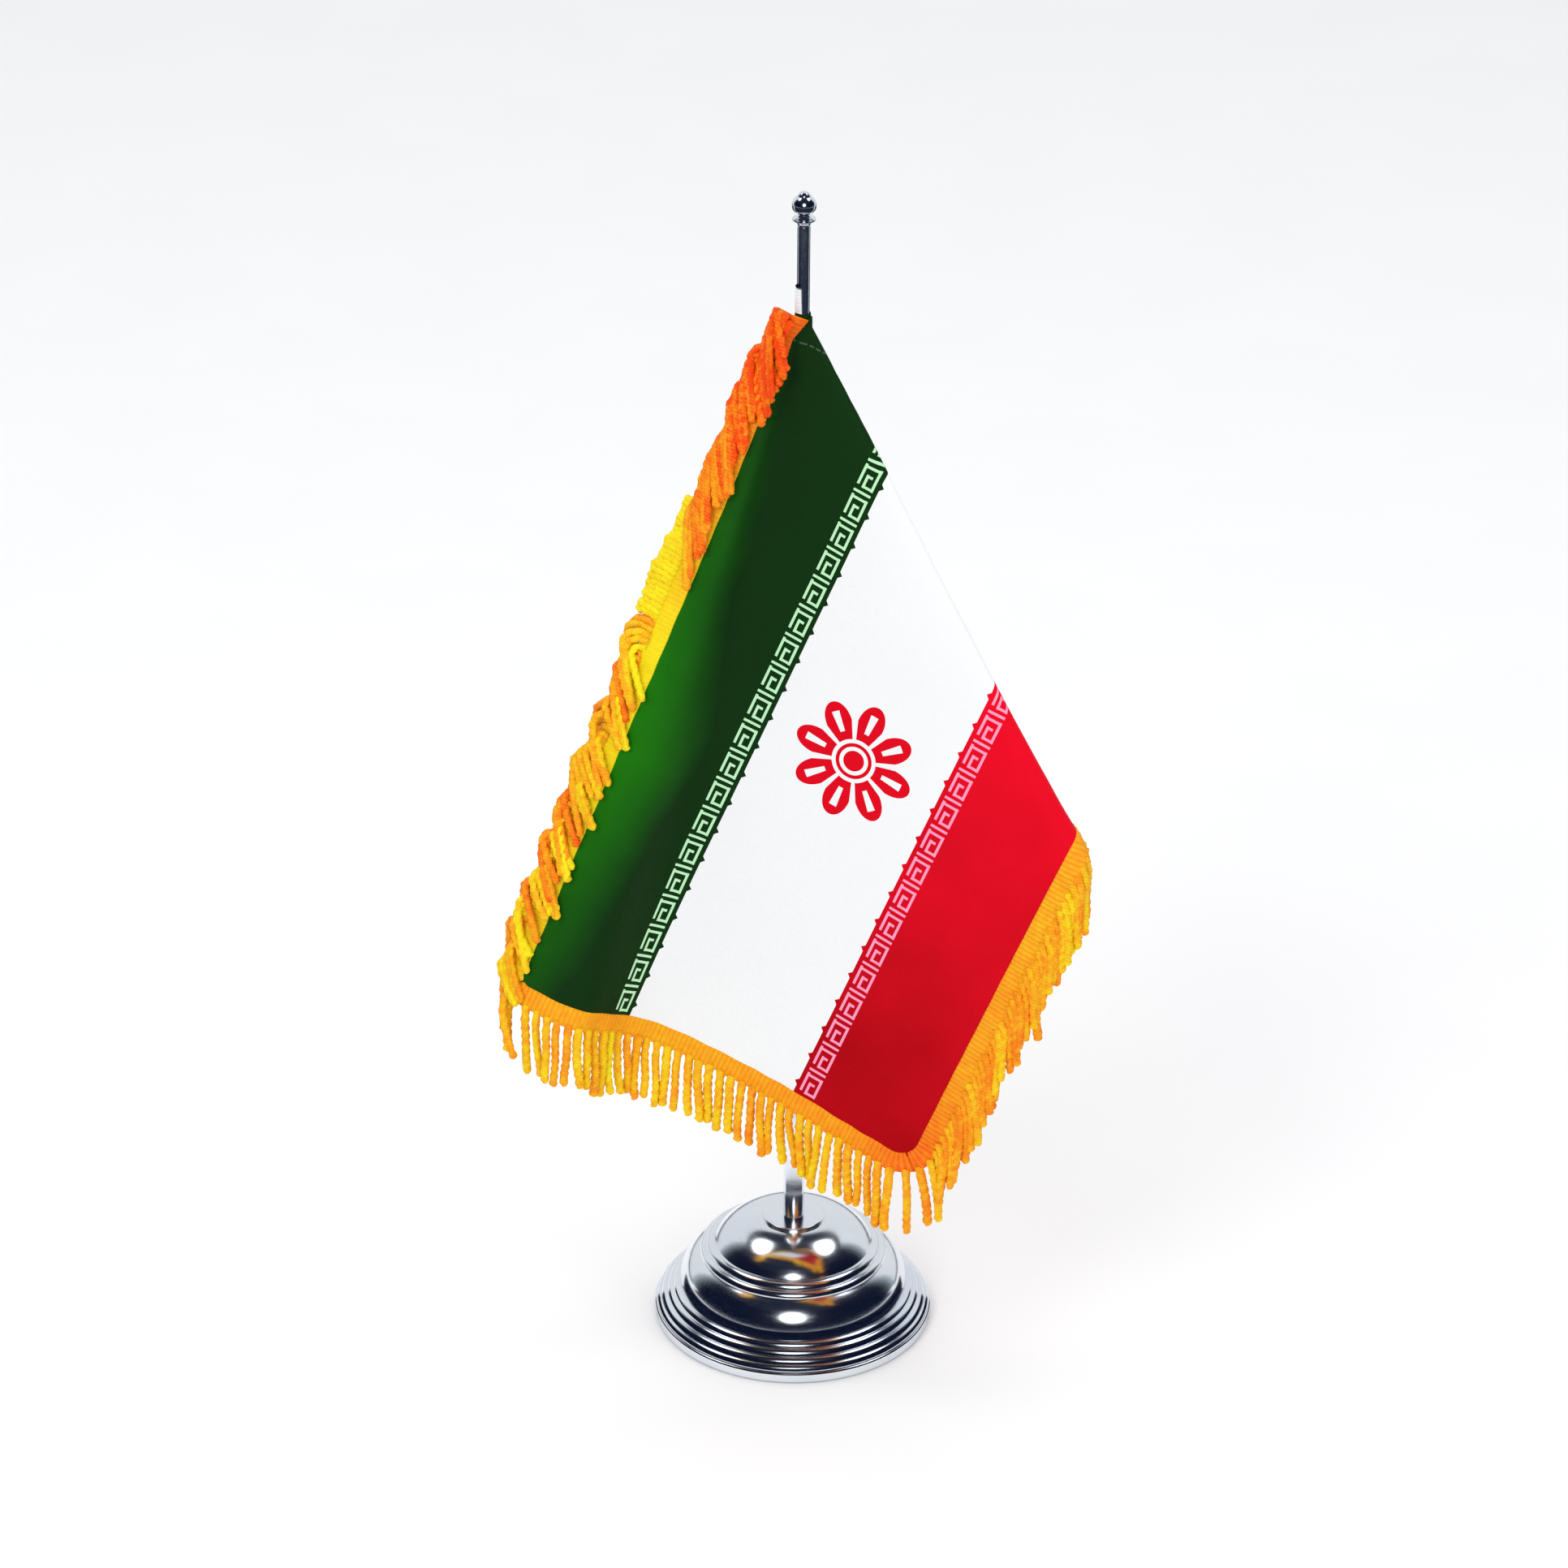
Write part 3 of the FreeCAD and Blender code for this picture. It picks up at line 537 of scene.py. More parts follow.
def make_pole(chrome):
    """Lower tube and the slim rod that slides in it."""
    tube = lathe("chromed_tube", [
        (0.0, 51.85, 0.0), (2.6, 51.85, 0.0), (2.6, DISC_TOP, 0.0), (3.8, DISC_TOP, 0.0),
        (3.8, 91.95, 0.207), (3.4, TUBE_TOP, 0.0), (2.2, TUBE_TOP, 0.0), (2.2, 53.35, 0.0),
        (0.0, 53.35, 0.0)], chrome, "base", "lower_tube", steps=5)
    rod = lathe("chromed_rod", [
        (0.0, 53.4, 0.0), (1.75, 53.4, 0.207), (2.15, 53.8, 0.0), (2.15, 423.7, 0.2),
        (1.95, ROD_TOP, 0.0), (1.25, ROD_TOP, 0.0), (1.25, 416.8, 0.0), (0.0, 416.8, 0.0)],
        chrome, "pole", "upper_rod", steps=5)


def make_finial(chrome):
    """Turned collar and acorn."""
    seat = COLLAR_FOOT + COLLAR_HEIGHT
    collar = lathe("finial_ring_turned", [
        (FINIAL_BORE, COLLAR_FOOT, 0.0), (COLLAR_RADIUS * 0.54, COLLAR_FOOT, 0.0),
        (COLLAR_RADIUS * 0.56, COLLAR_FOOT + COLLAR_HEIGHT * 0.15, -0.10),
        (COLLAR_RADIUS * 0.97, COLLAR_FOOT + COLLAR_HEIGHT * 0.50, 0.25),
        (COLLAR_RADIUS * 0.97, COLLAR_FOOT + COLLAR_HEIGHT * 0.68, -0.08),
        (COLLAR_RADIUS * 0.50, seat, 0.0), (FINIAL_BORE, seat, 0.0)],
        chrome, "finial_ring", "finial_collar")
    foot, ball, tall = seat + ACORN_GAP, ACORN_RADIUS, ACORN_HEIGHT
    acorn = lathe("finial_acorn_turned", [
        (0.0, seat + tall * 0.5, 0.0), (FINIAL_BORE, seat + tall * 0.5, 0.0),
        (FINIAL_BORE, foot, 0.0), (ball * 0.47, foot, 0.0),
        (ball * 0.47, seat + tall * 0.09, 0.0),
        (ball * 0.74, seat + tall * 0.13, 0.16), (ball, seat + tall * 0.37, 0.14),
        (ball * 0.62, seat + tall * 0.79, 0.0), (ball * 0.53, seat + tall * 0.82, 0.12),
        (ball * 0.42, seat + tall * 0.94, 0.12), (ball * 0.22, seat + tall, 0.0),
        (0.0, seat + tall, 0.0)], chrome, "finial", "finial_acorn")


# ---------------------------------------------------------------- drape

def ray(share):
    """Direction of the hung cloth's ruling, a uniform cubic B-spline of slopes."""
    points = [Vector((x, y, -1.0)) for x, y in DRAPE_SLOPES]
    points = [points[0] * 2 - points[1]] + points + [points[-1] * 2 - points[-2]]
    spans = len(DRAPE_SLOPES) - 1
    span = min(int(share * spans), spans - 1)
    t = share * spans - span
    weights = ((1 - t) ** 3, 3 * t ** 3 - 6 * t ** 2 + 4,
               -3 * t ** 3 + 3 * t ** 2 + 3 * t + 1, t ** 3)
    total = Vector((0, 0, 0))
    for weight, point in zip(weights, points[span:span + 4]):
        total += point * (weight / 6)
    return total.normalized()


RAYS = [ray(i / DRAPE_SAMPLES) for i in range(DRAPE_SAMPLES + 1)]
SWEPT = [0.0]
for earlier, later in zip(RAYS, RAYS[1:]):
    SWEPT.append(SWEPT[-1] + earlier.angle(later))


def direction(angle):
    """Ruling for a flat angle at the corner: 0 is the hoist, a right angle the top."""
    target = min(max(angle / (math.pi / 2), 0.0), 1.0) * SWEPT[-1]
    i = min(bisect.bisect_right(SWEPT, target), DRAPE_SAMPLES) - 1
    share = (target - SWEPT[i]) / (SWEPT[i + 1] - SWEPT[i])
    return (RAYS[i] * (1 - share) + RAYS[i + 1] * share).normalized()


def across(angle):
    """Unit vector in the sheet, square to the ruling, towards the top edge."""
    step = 0.01
    low = min(max(angle - step, 0.0), math.pi / 2 - 2 * step)
    along = direction(low + 2 * step) - direction(low)
    ruling = direction(angle)
    return (along - ruling * along.dot(ruling)).normalized()


def ripple(x, y):
    """How far the cloth stands off its smooth cone: soft billows and stitched puckers."""
    far = math.hypot(x, y)
    billow = 1.5 * noise.noise(Vector((x * 0.013, y * 0.016, 3.1)))
    billow += 0.55 * noise.noise(Vector((x * 0.035, y * 0.030, 8.7)))
    edge = min(max(0.0, y), max(0.0, FLAG_HEIGHT - y), max(0.0, FLAG_LENGTH - x))
    pucker = math.exp(-edge / 7.0) * 0.32
    run = x if min(abs(y), abs(FLAG_HEIGHT - y)) < abs(FLAG_LENGTH - x) else y
    pucker *= math.sin(run * 0.50 + 1.7 * noise.noise(Vector((run * 0.05, 0.0, 1.0))))
    return (billow + pucker) * min(1.0, far / 60.0)


def place(x, y):
    """Point of the hung sheet for a flat point, and its normal, which faces the front
    on the front panel. The cloth bunches up a little round the rod at the top, and
    points that would enter the rod are pushed out round it."""
    angle = math.atan2(x, y) if y > 0 else math.pi / 2
    ruling, side = direction(angle), across(angle)
    normal = side.cross(ruling)
    far = math.hypot(x, max(y, 0.0))
    away = Vector((ruling.x, ruling.y, 0.0)).normalized()
    bunch = 2.3 * (1 - math.exp(-far / 1.8)) * math.exp(-far / 24.0) * math.sin(angle) ** 2
    point = CORNER + ruling * far - side * min(y, 0.0) + away * bunch
    point = point + normal * ripple(x, y)
    reach = math.hypot(point.x, point.y)
    if reach < SLEEVE_CLEAR + 1.5 and reach > 0.3:
        away = Vector((point.x, point.y, 0.0)).normalized().lerp(away, 0.35).normalized()
    if reach < SLEEVE_CLEAR:
        point = Vector((away.x * SLEEVE_CLEAR, away.y * SLEEVE_CLEAR, point.z))
    return point, normal


# ---------------------------------------------------------------- flag cloth

def rounded(x, y):
    """Pull a flat point inside the flag's rounded bottom fly and top fly corners."""
    for cy, sign in ((FLAG_HEIGHT, 1), (0.0, -1)):
        size = CORNER_ROUND if sign > 0 else TOP_ROUND
        hub_x, hub_y = FLAG_LENGTH - size, cy - sign * size
        dx, dy = x - hub_x, (y - hub_y) * sign
        if dx > 0 and dy > 0:
            reach, limit = math.hypot(dx, dy), max(dx, dy)
            x = hub_x + dx * limit / reach
            y = hub_y + sign * dy * limit / reach
    return x, y


def make_cloth(satin):
    """The hung sheet, its points closer together near the hoist."""
    columns, rows = 200, 128
    flat = []
    for i in range(rows + 1):
        for j in range(columns + 1):
            x = 0.4 + (FLAG_LENGTH - 0.4) * (j / columns) ** 1.12
            y = 0.6 + (FLAG_HEIGHT - 0.6) * i / rows
            flat.append(rounded(x, y))
    points, uvs = [], []
    for half in (CLOTH_HALF, -CLOTH_HALF):
        for x, y in flat:
            spot, normal = place(x, y)
            points.append(spot + normal * half)
            uvs.append((x / FLAG_LENGTH, y / FLAG_HEIGHT))
    faces = slab_faces(rows + 1, columns + 1)
    cloth = add_object("flag_printed_cloth", points, faces, satin, "flag", uvs)
    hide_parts("flag_cloth")
    return cloth


def make_sleeve(satin):
    """Hoist sleeve round the rod: sewn tube with soft gathers and turned-in ends."""
    rows, around, top, bottom = 90, 48, CORNER_HEIGHT, CORNER_HEIGHT - FLAG_HEIGHT
    points, uvs = [], []
    profile = [(2.27, 0.25), (2.55, 0.0)]
    profile += [(2.72, 0.4 + (top - bottom - 0.8) * i / rows) for i in range(rows + 1)]
    profile += [(2.55, top - bottom), (2.27, top - bottom - 0.25)]
    for k, (radius, up) in enumerate(profile):
        for j in range(around):
            angle = 2 * math.pi * j / around
            gather = 0.0
            if 1 < k < len(profile) - 2:
                gather = 0.10 * math.sin(up * 0.55 + 2.0 * math.sin(angle + up * 0.03))
                gather += 0.06 * noise.noise(Vector((angle, up * 0.2, 5.0)))
            r = radius + gather
            points.append((r * math.cos(angle), r * math.sin(angle), bottom + up))
            uvs.append((0.01 + 0.02 * abs(j / around - 0.5), 1 - up / (top - bottom)))
    faces = grid_faces(len(profile), around, wrap=True)
    last = (len(profile) - 1) * around
    for j in range(around):
        after = (j + 1) % around
        faces.append((last + j, j, after, last + after))
    sleeve = add_object("flag_hoist_sleeve", points, faces, satin, "flag", uvs)
    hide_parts("hoist_sleeve")
    return sleeve


def make_loop(tape):
    """White tape from the pin down to the sleeve, curved round the rod, narrowing towards the top
    and bowed out a little, with fine ripples.
    """
    rows, wide = 36, 9
    points = []
    for half in (0.20, -0.20):
        for i in range(rows + 1):
            t = i / rows
            z = LOOP_FOOT + LOOP_LENGTH * t
            for j in range(wide):
                angle = math.radians(PIN_AZIMUTH + (j / (wide - 1) - 0.5) * (70 - 14 * t))
                bow = 0.12 * math.sin(t * math.pi) + 0.04 * math.sin(t * 40.0)
                r = 2.50 + half + bow
                points.append((r * math.cos(angle), r * math.sin(angle), z))
    faces = slab_faces(rows + 1, wide)
    loop = add_object("flag_hanging_tape", points, faces, tape, None)
    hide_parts("hanging_loop")
    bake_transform(loop)
    return loop


# ---------------------------------------------------------------- braid and fringe

def boundary(distance):
    """Flat point and outward normal at a distance along the fringed edges: the bottom
    edge from the hoist, round the fly, and back along the top edge."""
    low, high = CORNER_ROUND, TOP_ROUND
    runs = [
        (FLAG_LENGTH - low, None),
        (low * math.pi / 2, (FLAG_LENGTH - low, FLAG_HEIGHT - low, low, 90.0)),
        (FLAG_HEIGHT - low - high, None),
        (high * math.pi / 2, (FLAG_LENGTH - high, high, high, 0.0)),
        (FLAG_LENGTH - high, None),
    ]
    for i, (length, arc) in enumerate(runs):
        if distance <= length or i == len(runs) - 1:
            break
        distance -= length
    if i == 0:
        return (distance, FLAG_HEIGHT), (0.0, 1.0)
    if i == 2:
        return (FLAG_LENGTH, FLAG_HEIGHT - low - distance), (1.0, 0.0)
    if i == 4:
        return (FLAG_LENGTH - high - distance, 0.0), (0.0, -1.0)
    hub_x, hub_y, radius, start = arc
    angle = math.radians(start) - distance / radius
    normal = (math.cos(angle), math.sin(angle))
    return (hub_x + radius * normal[0], hub_y + radius * normal[1]), normal


def edge_place(distance, outward):
    """Point beyond the flag's edge. Near the hanging corner the top edge carries on
    straight, passing in front of the sleeve."""
    near = max(0.0, distance - EDGE_END + APEX_CLEAR)
    (x, y), (nx, ny) = boundary(distance - near)
    point, normal = place(x + nx * outward, y + ny * outward)
    return point - direction(math.pi / 2) * near + normal * (0.42 * near), normal


def edge_frame(distance, outward):
    """Point, sheet normal and outward direction in the sheet, at the flag's edge."""
    point, normal = edge_place(distance, outward)
    inner, _ = edge_place(distance, outward - 1.0)
    return point, normal, (point - inner).normalized()


def make_heading(name, node, first, last, gold, tone_and_shade_at):
    """Ribbed braid folded over the cloth's edge."""
    section = [(-HEADING_LAP, 0.30), (-HEADING_LAP + 0.5, 0.62), (0.6, 0.74), (2.2, 0.80),
               (4.2, 0.76), (5.6, 0.62), (HEADING_WIDTH, 0.22)]
    stations = int((last - first) / 0.42)
    points, uvs, tone_and_shade_values = [], [], []
    ring = len(section) * 2
    for i in range(stations + 1):
        distance = first + (last - first) * i / stations
        rib = 0.09 * math.sin(distance * 2 * math.pi / 1.7)
        taper = min(1.0, 0.25 + i / 4, 0.25 + (stations - i) / 4)
        for k in range(ring):
            front = k < len(section)
            outward, half = section[k] if front else section[ring - 1 - k]
            half = (half + rib) * taper
            spot, normal = edge_place(distance, outward)
            points.append(spot + normal * (half if front else -half))
            uvs.append((distance / 1.0, outward / HEADING_WIDTH))
            # Colour value along the braid: its painted light and shade, with a short wave of
            # variation.
            tone_and_shade_values.append(tone_and_shade_at(distance) + 0.10 * math.sin(distance * 3.7))
    faces = grid_faces(stations + 1, ring, wrap=True)
    faces.append(tuple(range(ring)))
    faces.append(tuple(stations * ring + k for k in range(ring)))
    obj = add_object(name, points, faces, gold, "flag", uvs, tone_and_shade_values)
    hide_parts(node)
    return obj


def strand(path, radius, turns, phase):
    """Twisted two-ply strand along a path: rings of points, with a rounded tip."""
    around = 12
    path = path[:-1] + [path[-2].lerp(path[-1], t) for t in (0.35, 0.6, 0.8, 0.92, 1.0)]
    points, uvs = [], []
    total = sum((b - a).length for a, b in zip(path, path[1:]))
    run = 0.0
    guide = Vector((1.0, 0.0, 0.0))
    for i, point in enumerate(path):
        ahead = path[min(i + 1, len(path) - 1)] - path[max(i - 1, 0)]
        ahead.normalize()
        guide = (guide - ahead * guide.dot(ahead)).normalized()
        other = ahead.cross(guide)
        if i:
            run += (point - path[i - 1]).length
        left = total - run
        tip = math.sqrt(max(0.03, 1 - max(0.0, 1 - left / (radius * 0.8)) ** 2))
        twist = phase + 2 * math.pi * turns * run / total
        for k in range(around):
            angle = 2 * math.pi * k / around
            lobe = 0.60 + 0.42 * abs(math.cos(angle - twist)) ** 0.9
            r = radius * lobe * tip
            points.append(point + guide * (r * math.cos(angle)) + other * (r * math.sin(angle)))
            uvs.append((run, k / around))
    faces = grid_faces(len(path), around, wrap=True)
    faces.append(tuple(range(around)))
    end = (len(path) - 1) * around
    faces.append(tuple(end + k for k in range(around)))
    return points, faces, uvs


def hanging_path(distance, drop, sway, seed):
    """Strand that hangs from the braid's outer edge, slightly wavy and leaning."""
    root, normal, outward = edge_frame(distance, HEADING_WIDTH - 1.4)
    lean = sway.x * normal + Vector((sway.y, 0.0, 0.0))
    path = []
    steps = 17
    for i in range(steps + 1):
        t = i / steps
        ease = t * t * (3 - 2 * t)
        spot = root + outward * (1.9 * min(1.0, t * 5)) + Vector((0, 0, -drop * t))
        wave = 0.45 * t * math.sin(seed + t * 6.0)
        path.append(spot + lean * ease + normal * (wave * 0.7) + Vector((wave, 0, 0)))
    return path


def rolled_path(distance, arch, drop, front, lean, seed, inward=0.0):
    """Strand of the top edge: it arches out from the braid, then hangs down over the
    front of the flag or behind it, leaning along the edge."""
    root, normal, outward = edge_frame(distance, HEADING_WIDTH - 1.6)
    along = normal.cross(outward)
    down = Vector((0, 0, -1.0))
    if front > 0:
        down = (down - normal * down.dot(normal)).normalized()
    path, steps = [], 20
    for i in range(steps + 1):
        t = i / steps
        out = arch * math.sin(min(1.0, t / 0.42) * math.pi / 2) - inward * t * t
        out += 0.30 * math.sin(seed + t * 7.0) * t
        fall = drop * max(0.0, t - 0.10) ** 1.25 / 0.9 ** 1.25
        stand = (2.6 if front > 0 else -2.8) * math.sin(min(1.0, t / 0.5) * math.pi / 2)
        path.append(root + outward * out + down * fall + normal * stand
                    + along * (lean * t * t))
    return path


def lying_path(distance, outward, length, seed):
    """Strand that lies along the braid's face, which it hides near the pole."""
    path, steps = [], 16
    for i in range(steps + 1):
        t = i / steps
        spot, normal = edge_place(distance - length * t,
                                  outward + 0.35 * math.sin(seed + 5.0 * t) + 0.8 * t)
        path.append(spot + normal * (1.6 + 0.9 * min(1.0, t * 4)))
    return path


def collect(name, node, strands, gold):
    """One fringe piece from its strands, each a path, a radius and a colour value that mixes
    random variation with painted light and shade.
    """
    points, faces, uvs, tone_and_shade_values = [], [], [], []
    for path, radius, tone_and_shade in strands:
        length = sum((b - a).length for a, b in zip(path, path[1:]))
        made, quads, flat = strand(path, radius, length / 6.4, random.uniform(0, 6.28))
        start = len(points)
        points += made
        faces += [tuple(start + v for v in face) for face in quads]
        uvs += flat
        for i in range(len(made)):
            run = i / len(made)
            tone_and_shade_values.append(tone_and_shade + 0.16 * math.sin(run * 9 + tone_and_shade * 40) * run)
    obj = add_object(name, points, faces, gold, "flag", uvs, tone_and_shade_values)
    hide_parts(node)
    return obj


def hanging_strands():
    """Strands of the bottom and fly edges, which hang straight down."""
    bottom, fly = [], []
    distance = 7.5
    while distance < HIGH_TURN - 1.0:
        clump = noise.noise(Vector((distance * 0.085, 0.0, 4.0)))
        sway = Vector((random.uniform(-0.9, 0.9), 4.4 * clump + random.uniform(-0.7, 0.7), 0))
        drop = FRINGE_DROP * random.uniform(0.90, 1.06)
        path = hanging_path(distance, drop, sway, random.uniform(0, 6.28))
        # Colour value of each strand: random variation, and on the bottom edge painted light that
        # turns the yarn yellower towards the hoist.
        lit = 0.3 * noise.noise(Vector((distance * 0.09, 2.0, 0.0))) + random.uniform(-0.10, 0.12)
        radius = STRAND_RADIUS * random.uniform(0.90, 1.08)
        if distance < LOW_TURN:
            along = (LOW_TURN - distance) / 170.0
            bottom.append((path, radius, 0.50 + 0.4 * min(1.0, along) ** 3 + lit))
            distance += random.uniform(3.0, 3.7)
        else:
            along = (distance - LOW_TURN) / (HIGH_TURN - LOW_TURN)
            fly.append((path, radius, 0.60 + 0.10 * along + lit))
            distance += random.uniform(3.5, 4.4)
    return bottom, fly


def rolled_strands():
    """Strands of the top edge. Near the pole they hang over the front, further down a
    yellow stretch folds behind, and then they hang over the front in clumps."""
    top = []
    distance = HIGH_TURN - 1.0
    while distance < EDGE_END - 0.8:
        share = (EDGE_END - distance) / (EDGE_END - HIGH_TURN)
        lump = noise.noise(Vector((distance * 0.085, 0.0, 9.0)))
        phase = distance * 2 * math.pi / CLUMP_LENGTH + 2.0 * lump
        lean = 3.0 * noise.noise(Vector((distance * 0.11, 5.0, 0.0))) + random.uniform(-1, 1)
        lean += 4.0 * math.sin(phase)
        # Colour value of each strand, painted light and shade with random variation: oranger near
        # the pole, yellow where the strands fold behind, and in the clumps paler and darker with
        # each clump's swing.
        lit, front, inward = random.uniform(-0.16, 0.14), 1.0, 0.0
        if share < FRONT_END:
            arch, step = 5.0 + 4.0 * lump + 5.0 * share, random.uniform(1.9, 2.6)
            drop, lit, inward = random.uniform(22.0, 28.0), lit + 0.08 + 1.2 * share, 4.5
        elif share < BEHIND_END:
            arch = 7.4 + 2.0 * lump + min(2.2, 40.0 * (share - FRONT_END))
            front, step = -1.0, random.uniform(1.6, 2.1)
            drop, lit = random.uniform(4.0, 7.0), lit * 0.5 + 0.95
        else:
            arch, step, inward = 6.6 + 4.0 * lump, random.uniform(1.9, 2.6), 8.0
            arch -= 2.2 * math.cos(phase)
            drop = random.uniform(17.0, 22.0) - 2.5 * math.cos(phase)
            lit += 0.64 + 0.4 * lump + 0.22 * math.cos(phase)
            if random.random() < 0.3:
                front, arch, inward = -1.0, arch + 1.5, 0.0
        if share < 0.06:
            arch = 3.0
        if share > 0.93:
            arch = 4.2
        path = rolled_path(distance, arch + random.uniform(-0.7, 0.7), drop, front, lean,
                           random.uniform(0, 6.28), inward)
        top.append((path, STRAND_RADIUS * random.uniform(0.85, 1.0), lit))
        if share < 0.10:
            cover = rolled_path(distance, 1.0 + 2.0 * lump, random.uniform(11.0, 16.0), 1.0,
                                lean, random.uniform(0, 6.28), 6.0)
            top.append((cover, STRAND_RADIUS * 0.9, lit))
        distance += step
    return top


def cover_strands():
    """Strands that lie over the end of the top braid, next to the pole."""
    cover = []
    for row, start in enumerate((2.6, 0.9, 0.8, 0.8)):
        path = lying_path(EDGE_END - start, 0.2 + 1.75 * row, random.uniform(12.0, 17.0),
                          random.uniform(0, 6.28))
        cover.append((path, STRAND_RADIUS * 0.85, random.uniform(-0.06, 0.20)))
    return cover


def make_fringe(gold):
    """The three fringe pieces."""
    bottom, fly = hanging_strands()
    top = rolled_strands() + cover_strands()
    return [collect("fringe_bottom_edge", "bottom_fringe", bottom, gold),
            collect("fringe_fly_edge", "fly_fringe", fly, gold),
            collect("fringe_top_edge", "top_fringe", top, gold)]


# ---------------------------------------------------------------- studio

def glowing(name, colour, strength):
    """Material that gives off one plain colour."""
    material = bpy.data.materials.new(name)
    material.use_nodes = True
    tree = material.node_tree
    glow = tree.nodes.new("ShaderNodeEmission")
    glow.inputs["Color"].default_value = (*colour, 1.0)
    glow.inputs["Strength"].default_value = strength
    tree.links.new(glow.outputs[0], tree.nodes["Material Output"].inputs["Surface"])
    return material


def reflected(name, points, faces, colour, strength):
    """Studio card that only reflections see: a painted reflection, which lights nothing and casts
    no shadow.
    """
    obj = add_object(name, points, faces, glowing(name, colour, strength), None,
                     closed=False)
    for kind in ("camera", "diffuse", "transmission", "volume_scatter", "shadow"):
        setattr(obj, "visible_" + kind, False)
    return obj


def toward(azimuth, elevation, radius):
    a, e = math.radians(azimuth), math.radians(elevation)
    return Vector((radius * math.cos(e) * math.cos(a), radius * math.cos(e) * math.sin(a),
                   radius * math.sin(e)))


def dome_card(name, azimuths, elevations, colour):
    """Part of a sphere round the object, which only reflections see: a painted reflection of the
    room round it.
    """
    columns, rows = 48, 18
    points = [toward(azimuths[0] + (azimuths[1] - azimuths[0]) * j / columns,
                     elevations[0] + (elevations[1] - elevations[0]) * i / rows, DOME_RADIUS)
              for i in range(rows + 1) for j in range(columns + 1)]
    return reflected(name, points, grid_faces(rows + 1, columns + 1), colour, 1.0)


def round_card(name, azimuth, elevation, wide, tall, strength):
    """Elliptical glowing card, the painted highlight of a softbox that lights nothing; its half
    sizes are in degrees seen from the object.
    """
    count = 64
    points = [toward(azimuth + wide * math.cos(2 * math.pi * k / count)
                     / math.cos(math.radians(elevation)),
                     elevation + tall * math.sin(2 * math.pi * k / count), HIGHLIGHT_CARD_RADIUS)
              for k in range(count)]
    return reflected(name, points, [tuple(range(count))], (1.0, 1.0, 1.0), strength)


def table_card(name, azimuths, inner, outer, colour, rise=0.0):
    """Dark sheet on the table round the stand, or a low wall when it rises, which only reflections
    see: a painted dark reflection.
    """
    columns = 48
    points = []
    for radius, height in ((inner, 0.6), (outer, 0.6 + rise)):
        for j in range(columns + 1):
            spot = toward(azimuths[0] + (azimuths[1] - azimuths[0]) * j / columns, 0, radius)
            points.append(spot + Vector((0, 0, height)))
    return reflected(name, points, grid_faces(2, columns + 1), colour, 1.0)


def area_light(name, place_at, aim, size, power):
    """Round soft light that reflections don't see."""
    data = bpy.data.lights.new(name, "AREA")
    data.shape, data.size, data.energy = "DISK", size, power
    obj = bpy.data.objects.new(name, data)
    bpy.context.scene.collection.objects.link(obj)
    look = Vector(aim) - Vector(place_at)
    obj.matrix_world = (Matrix.Translation(place_at)
                        @ look.to_track_quat("-Z", "Y").to_matrix().to_4x4())
    obj.visible_glossy = False
    return obj


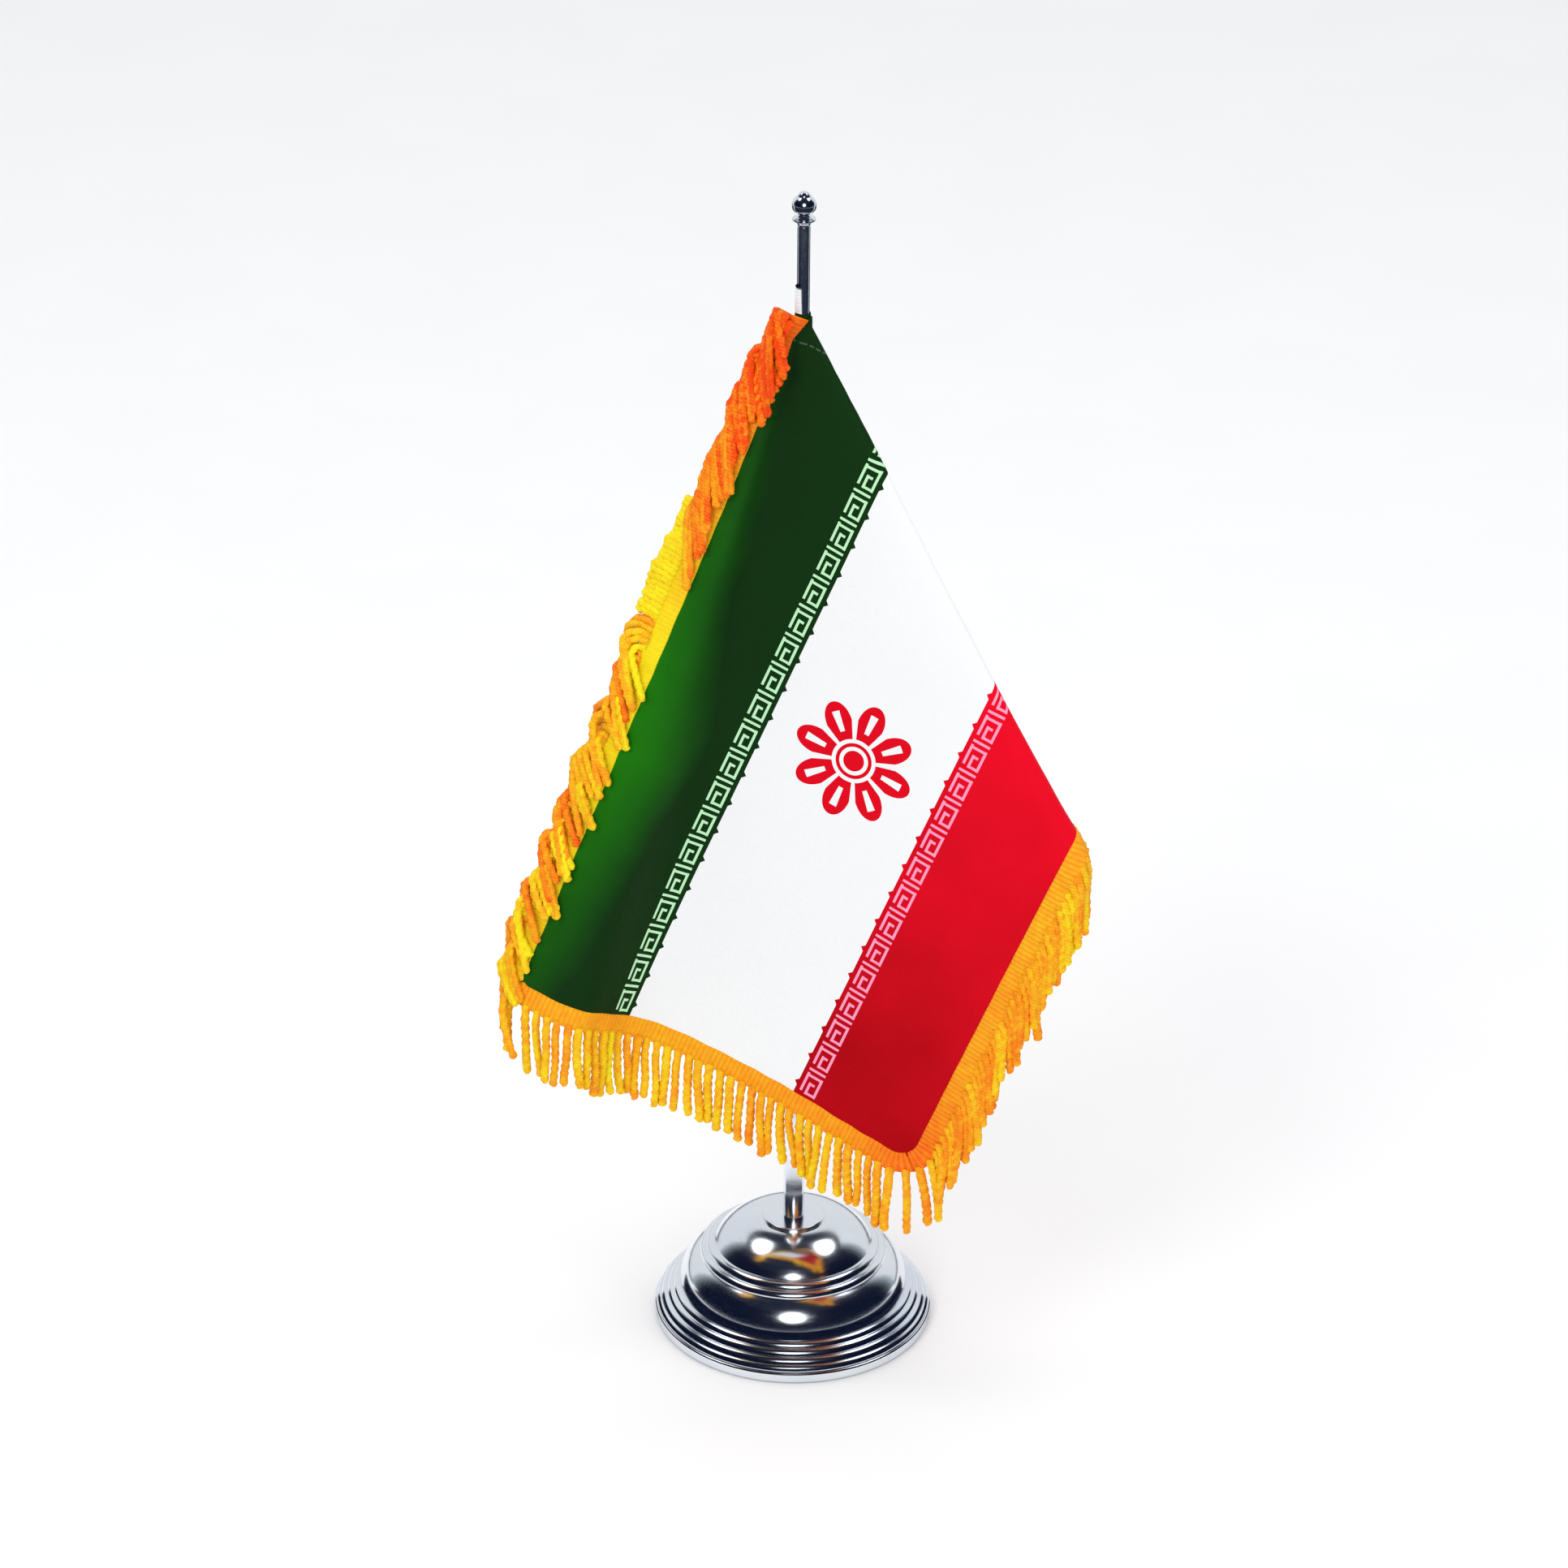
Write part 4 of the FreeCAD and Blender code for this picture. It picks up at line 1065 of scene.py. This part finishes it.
def make_studio():
    """Pale floor and world, soft lights, and the dark and bright cards that paint the reflections
    in the chrome.
    """
    bpy.context.scene.view_settings.view_transform = "Standard"
    world = bpy.data.worlds.new("studio")
    bpy.context.scene.world = world
    world.use_nodes = True
    world.node_tree.nodes["Background"].inputs["Color"].default_value = (0.97, 0.98, 1.0, 1)
    world.node_tree.nodes["Background"].inputs["Strength"].default_value = 0.80
    floor = Look("floor_paper", Roughness=0.9, Specular_IOR_Level=0.0)
    grain = floor.spread(floor.noise(14.0, 2.0), 0.0, 1.0)
    floor.colour(floor.mix(grain, (0.94, 0.94, 0.945), (0.95, 0.95, 0.952)))
    half = 20000.0
    ground = add_object("floor", [(-half, -half, 0), (half, -half, 0), (half, half, 0),
                                  (-half, half, 0)], [(0, 1, 2, 3)], floor.material, None,
                        closed=False)
    area_light("key", (-0.9, -1.3, 1.5), (0, 0, 0.2), 0.9, 9)
    area_light("fill", (1.2, -0.9, 0.9), (0, 0, 0.2), 0.9, 3)
    area_light("overhead", (0.0, 0.2, 2.0), (0, 0, 0.1), 1.2, 8)
    # Dark cards, fading to pale at their sides: painted dark reflections of the room.
    dome_card("dark_front", (-196, 16), (0.02, 46), NAVY)
    for side, start, turn in (("left", -196, -5.0), ("right", 16, 5.0)):
        for step, shade in enumerate((0.06, 0.20, 0.45)):
            first, last = start + turn * step, start + turn * (step + 1)
            dome_card("fade_%s_%d" % (side, step), (first, last), (0.02, 46),
                      (shade * 0.8, shade * 0.9, shade))
    dome_card("dark_top", (-270, 90), (46, 90), SLATE)
    table_card("dark_table_near", (-192, 12), 57, 60.5, NAVY)
    table_card("dark_wall_low", (-192, 12), 60, 60.5, NAVY, rise=13)
    table_card("dark_table_far", (-196, 16), 190, 2600, (0.016, 0.022, 0.040))
    table_card("dark_table_back", (25, 155), 300, 1500, (0.045, 0.06, 0.09))
    # Glowing cards: painted highlights of softboxes, seen only in reflections.
    round_card("painted_highlight_right", 26, 62, 15, 9, 2.6)
    round_card("painted_highlight_left", 154, 62, 15, 9, 2.6)
    round_card("painted_highlight_front", -90, 33, 12, 15, 2.2)


# ---------------------------------------------------------------- assembly

def main():
    make_camera()
    make_studio()
    chrome, felt, tape, satin = chrome_look(), felt_look(), tape_look(), satin_look()
    braid, yarn = gold_look("gold_braid", 1.6, 0.06), gold_look("gold_yarn", 0.8, 0.12)
    iron = metal_look("cast_iron", (0.10, 0.10, 0.11), (0.16, 0.10, 0.07), (0.5, 0.8), 80, 0.0004)
    zinc = metal_look("zinc_steel", (0.62, 0.64, 0.66), (0.50, 0.52, 0.50), (0.22, 0.42))
    dark = metal_look("blackened_steel", (0.03, 0.03, 0.035), (0.06, 0.05, 0.05), (0.25, 0.5))
    for names, material in (
            (("base_ballast",), iron),
            (("clamp_stud", "core_spacer", "clamp_washer", "clamp_nut", "base_plate",
              "finial_stud"), zinc),
            (("grub_screw", "flag_pin"), dark)):
        for name in names:
            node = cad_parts[name]
            for holder in node.material_slots:
                holder.material = material
    make_base(chrome, felt)
    make_pole(chrome)
    make_finial(chrome)
    cloth = make_cloth(satin)
    sleeve = make_sleeve(satin)
    make_loop(tape)

    # Colour values of the braids, painted light and shade with random variation: the bottom and
    # fly braids turn orange towards the bottom fly corner, the top braid towards the pole.
    def braid_tone_and_shade(distance):
        bend = abs(distance - LOW_TURN) / 60.0
        return 0.22 + 0.30 * min(1.0, bend) + 0.12 * noise.noise(Vector((distance * 0.03, 7.0, 0)))

    def top_tone_and_shade(distance):
        share = (EDGE_END - distance) / (EDGE_END - HIGH_TURN)
        return 0.12 + 0.85 * min(1.0, share * 2.0) - 0.35 * max(0.0, share - 0.55)

    headings = [
        make_heading("braid_bottom", "bottom_heading", 4.5, LOW_TURN, braid, braid_tone_and_shade),
        make_heading("braid_fly", "fly_heading", LOW_TURN, HIGH_TURN, braid, braid_tone_and_shade),
        make_heading("braid_top", "top_heading", HIGH_TURN, EDGE_END - 0.6, braid, top_tone_and_shade),
    ]
    fringes = make_fringe(yarn)


main()
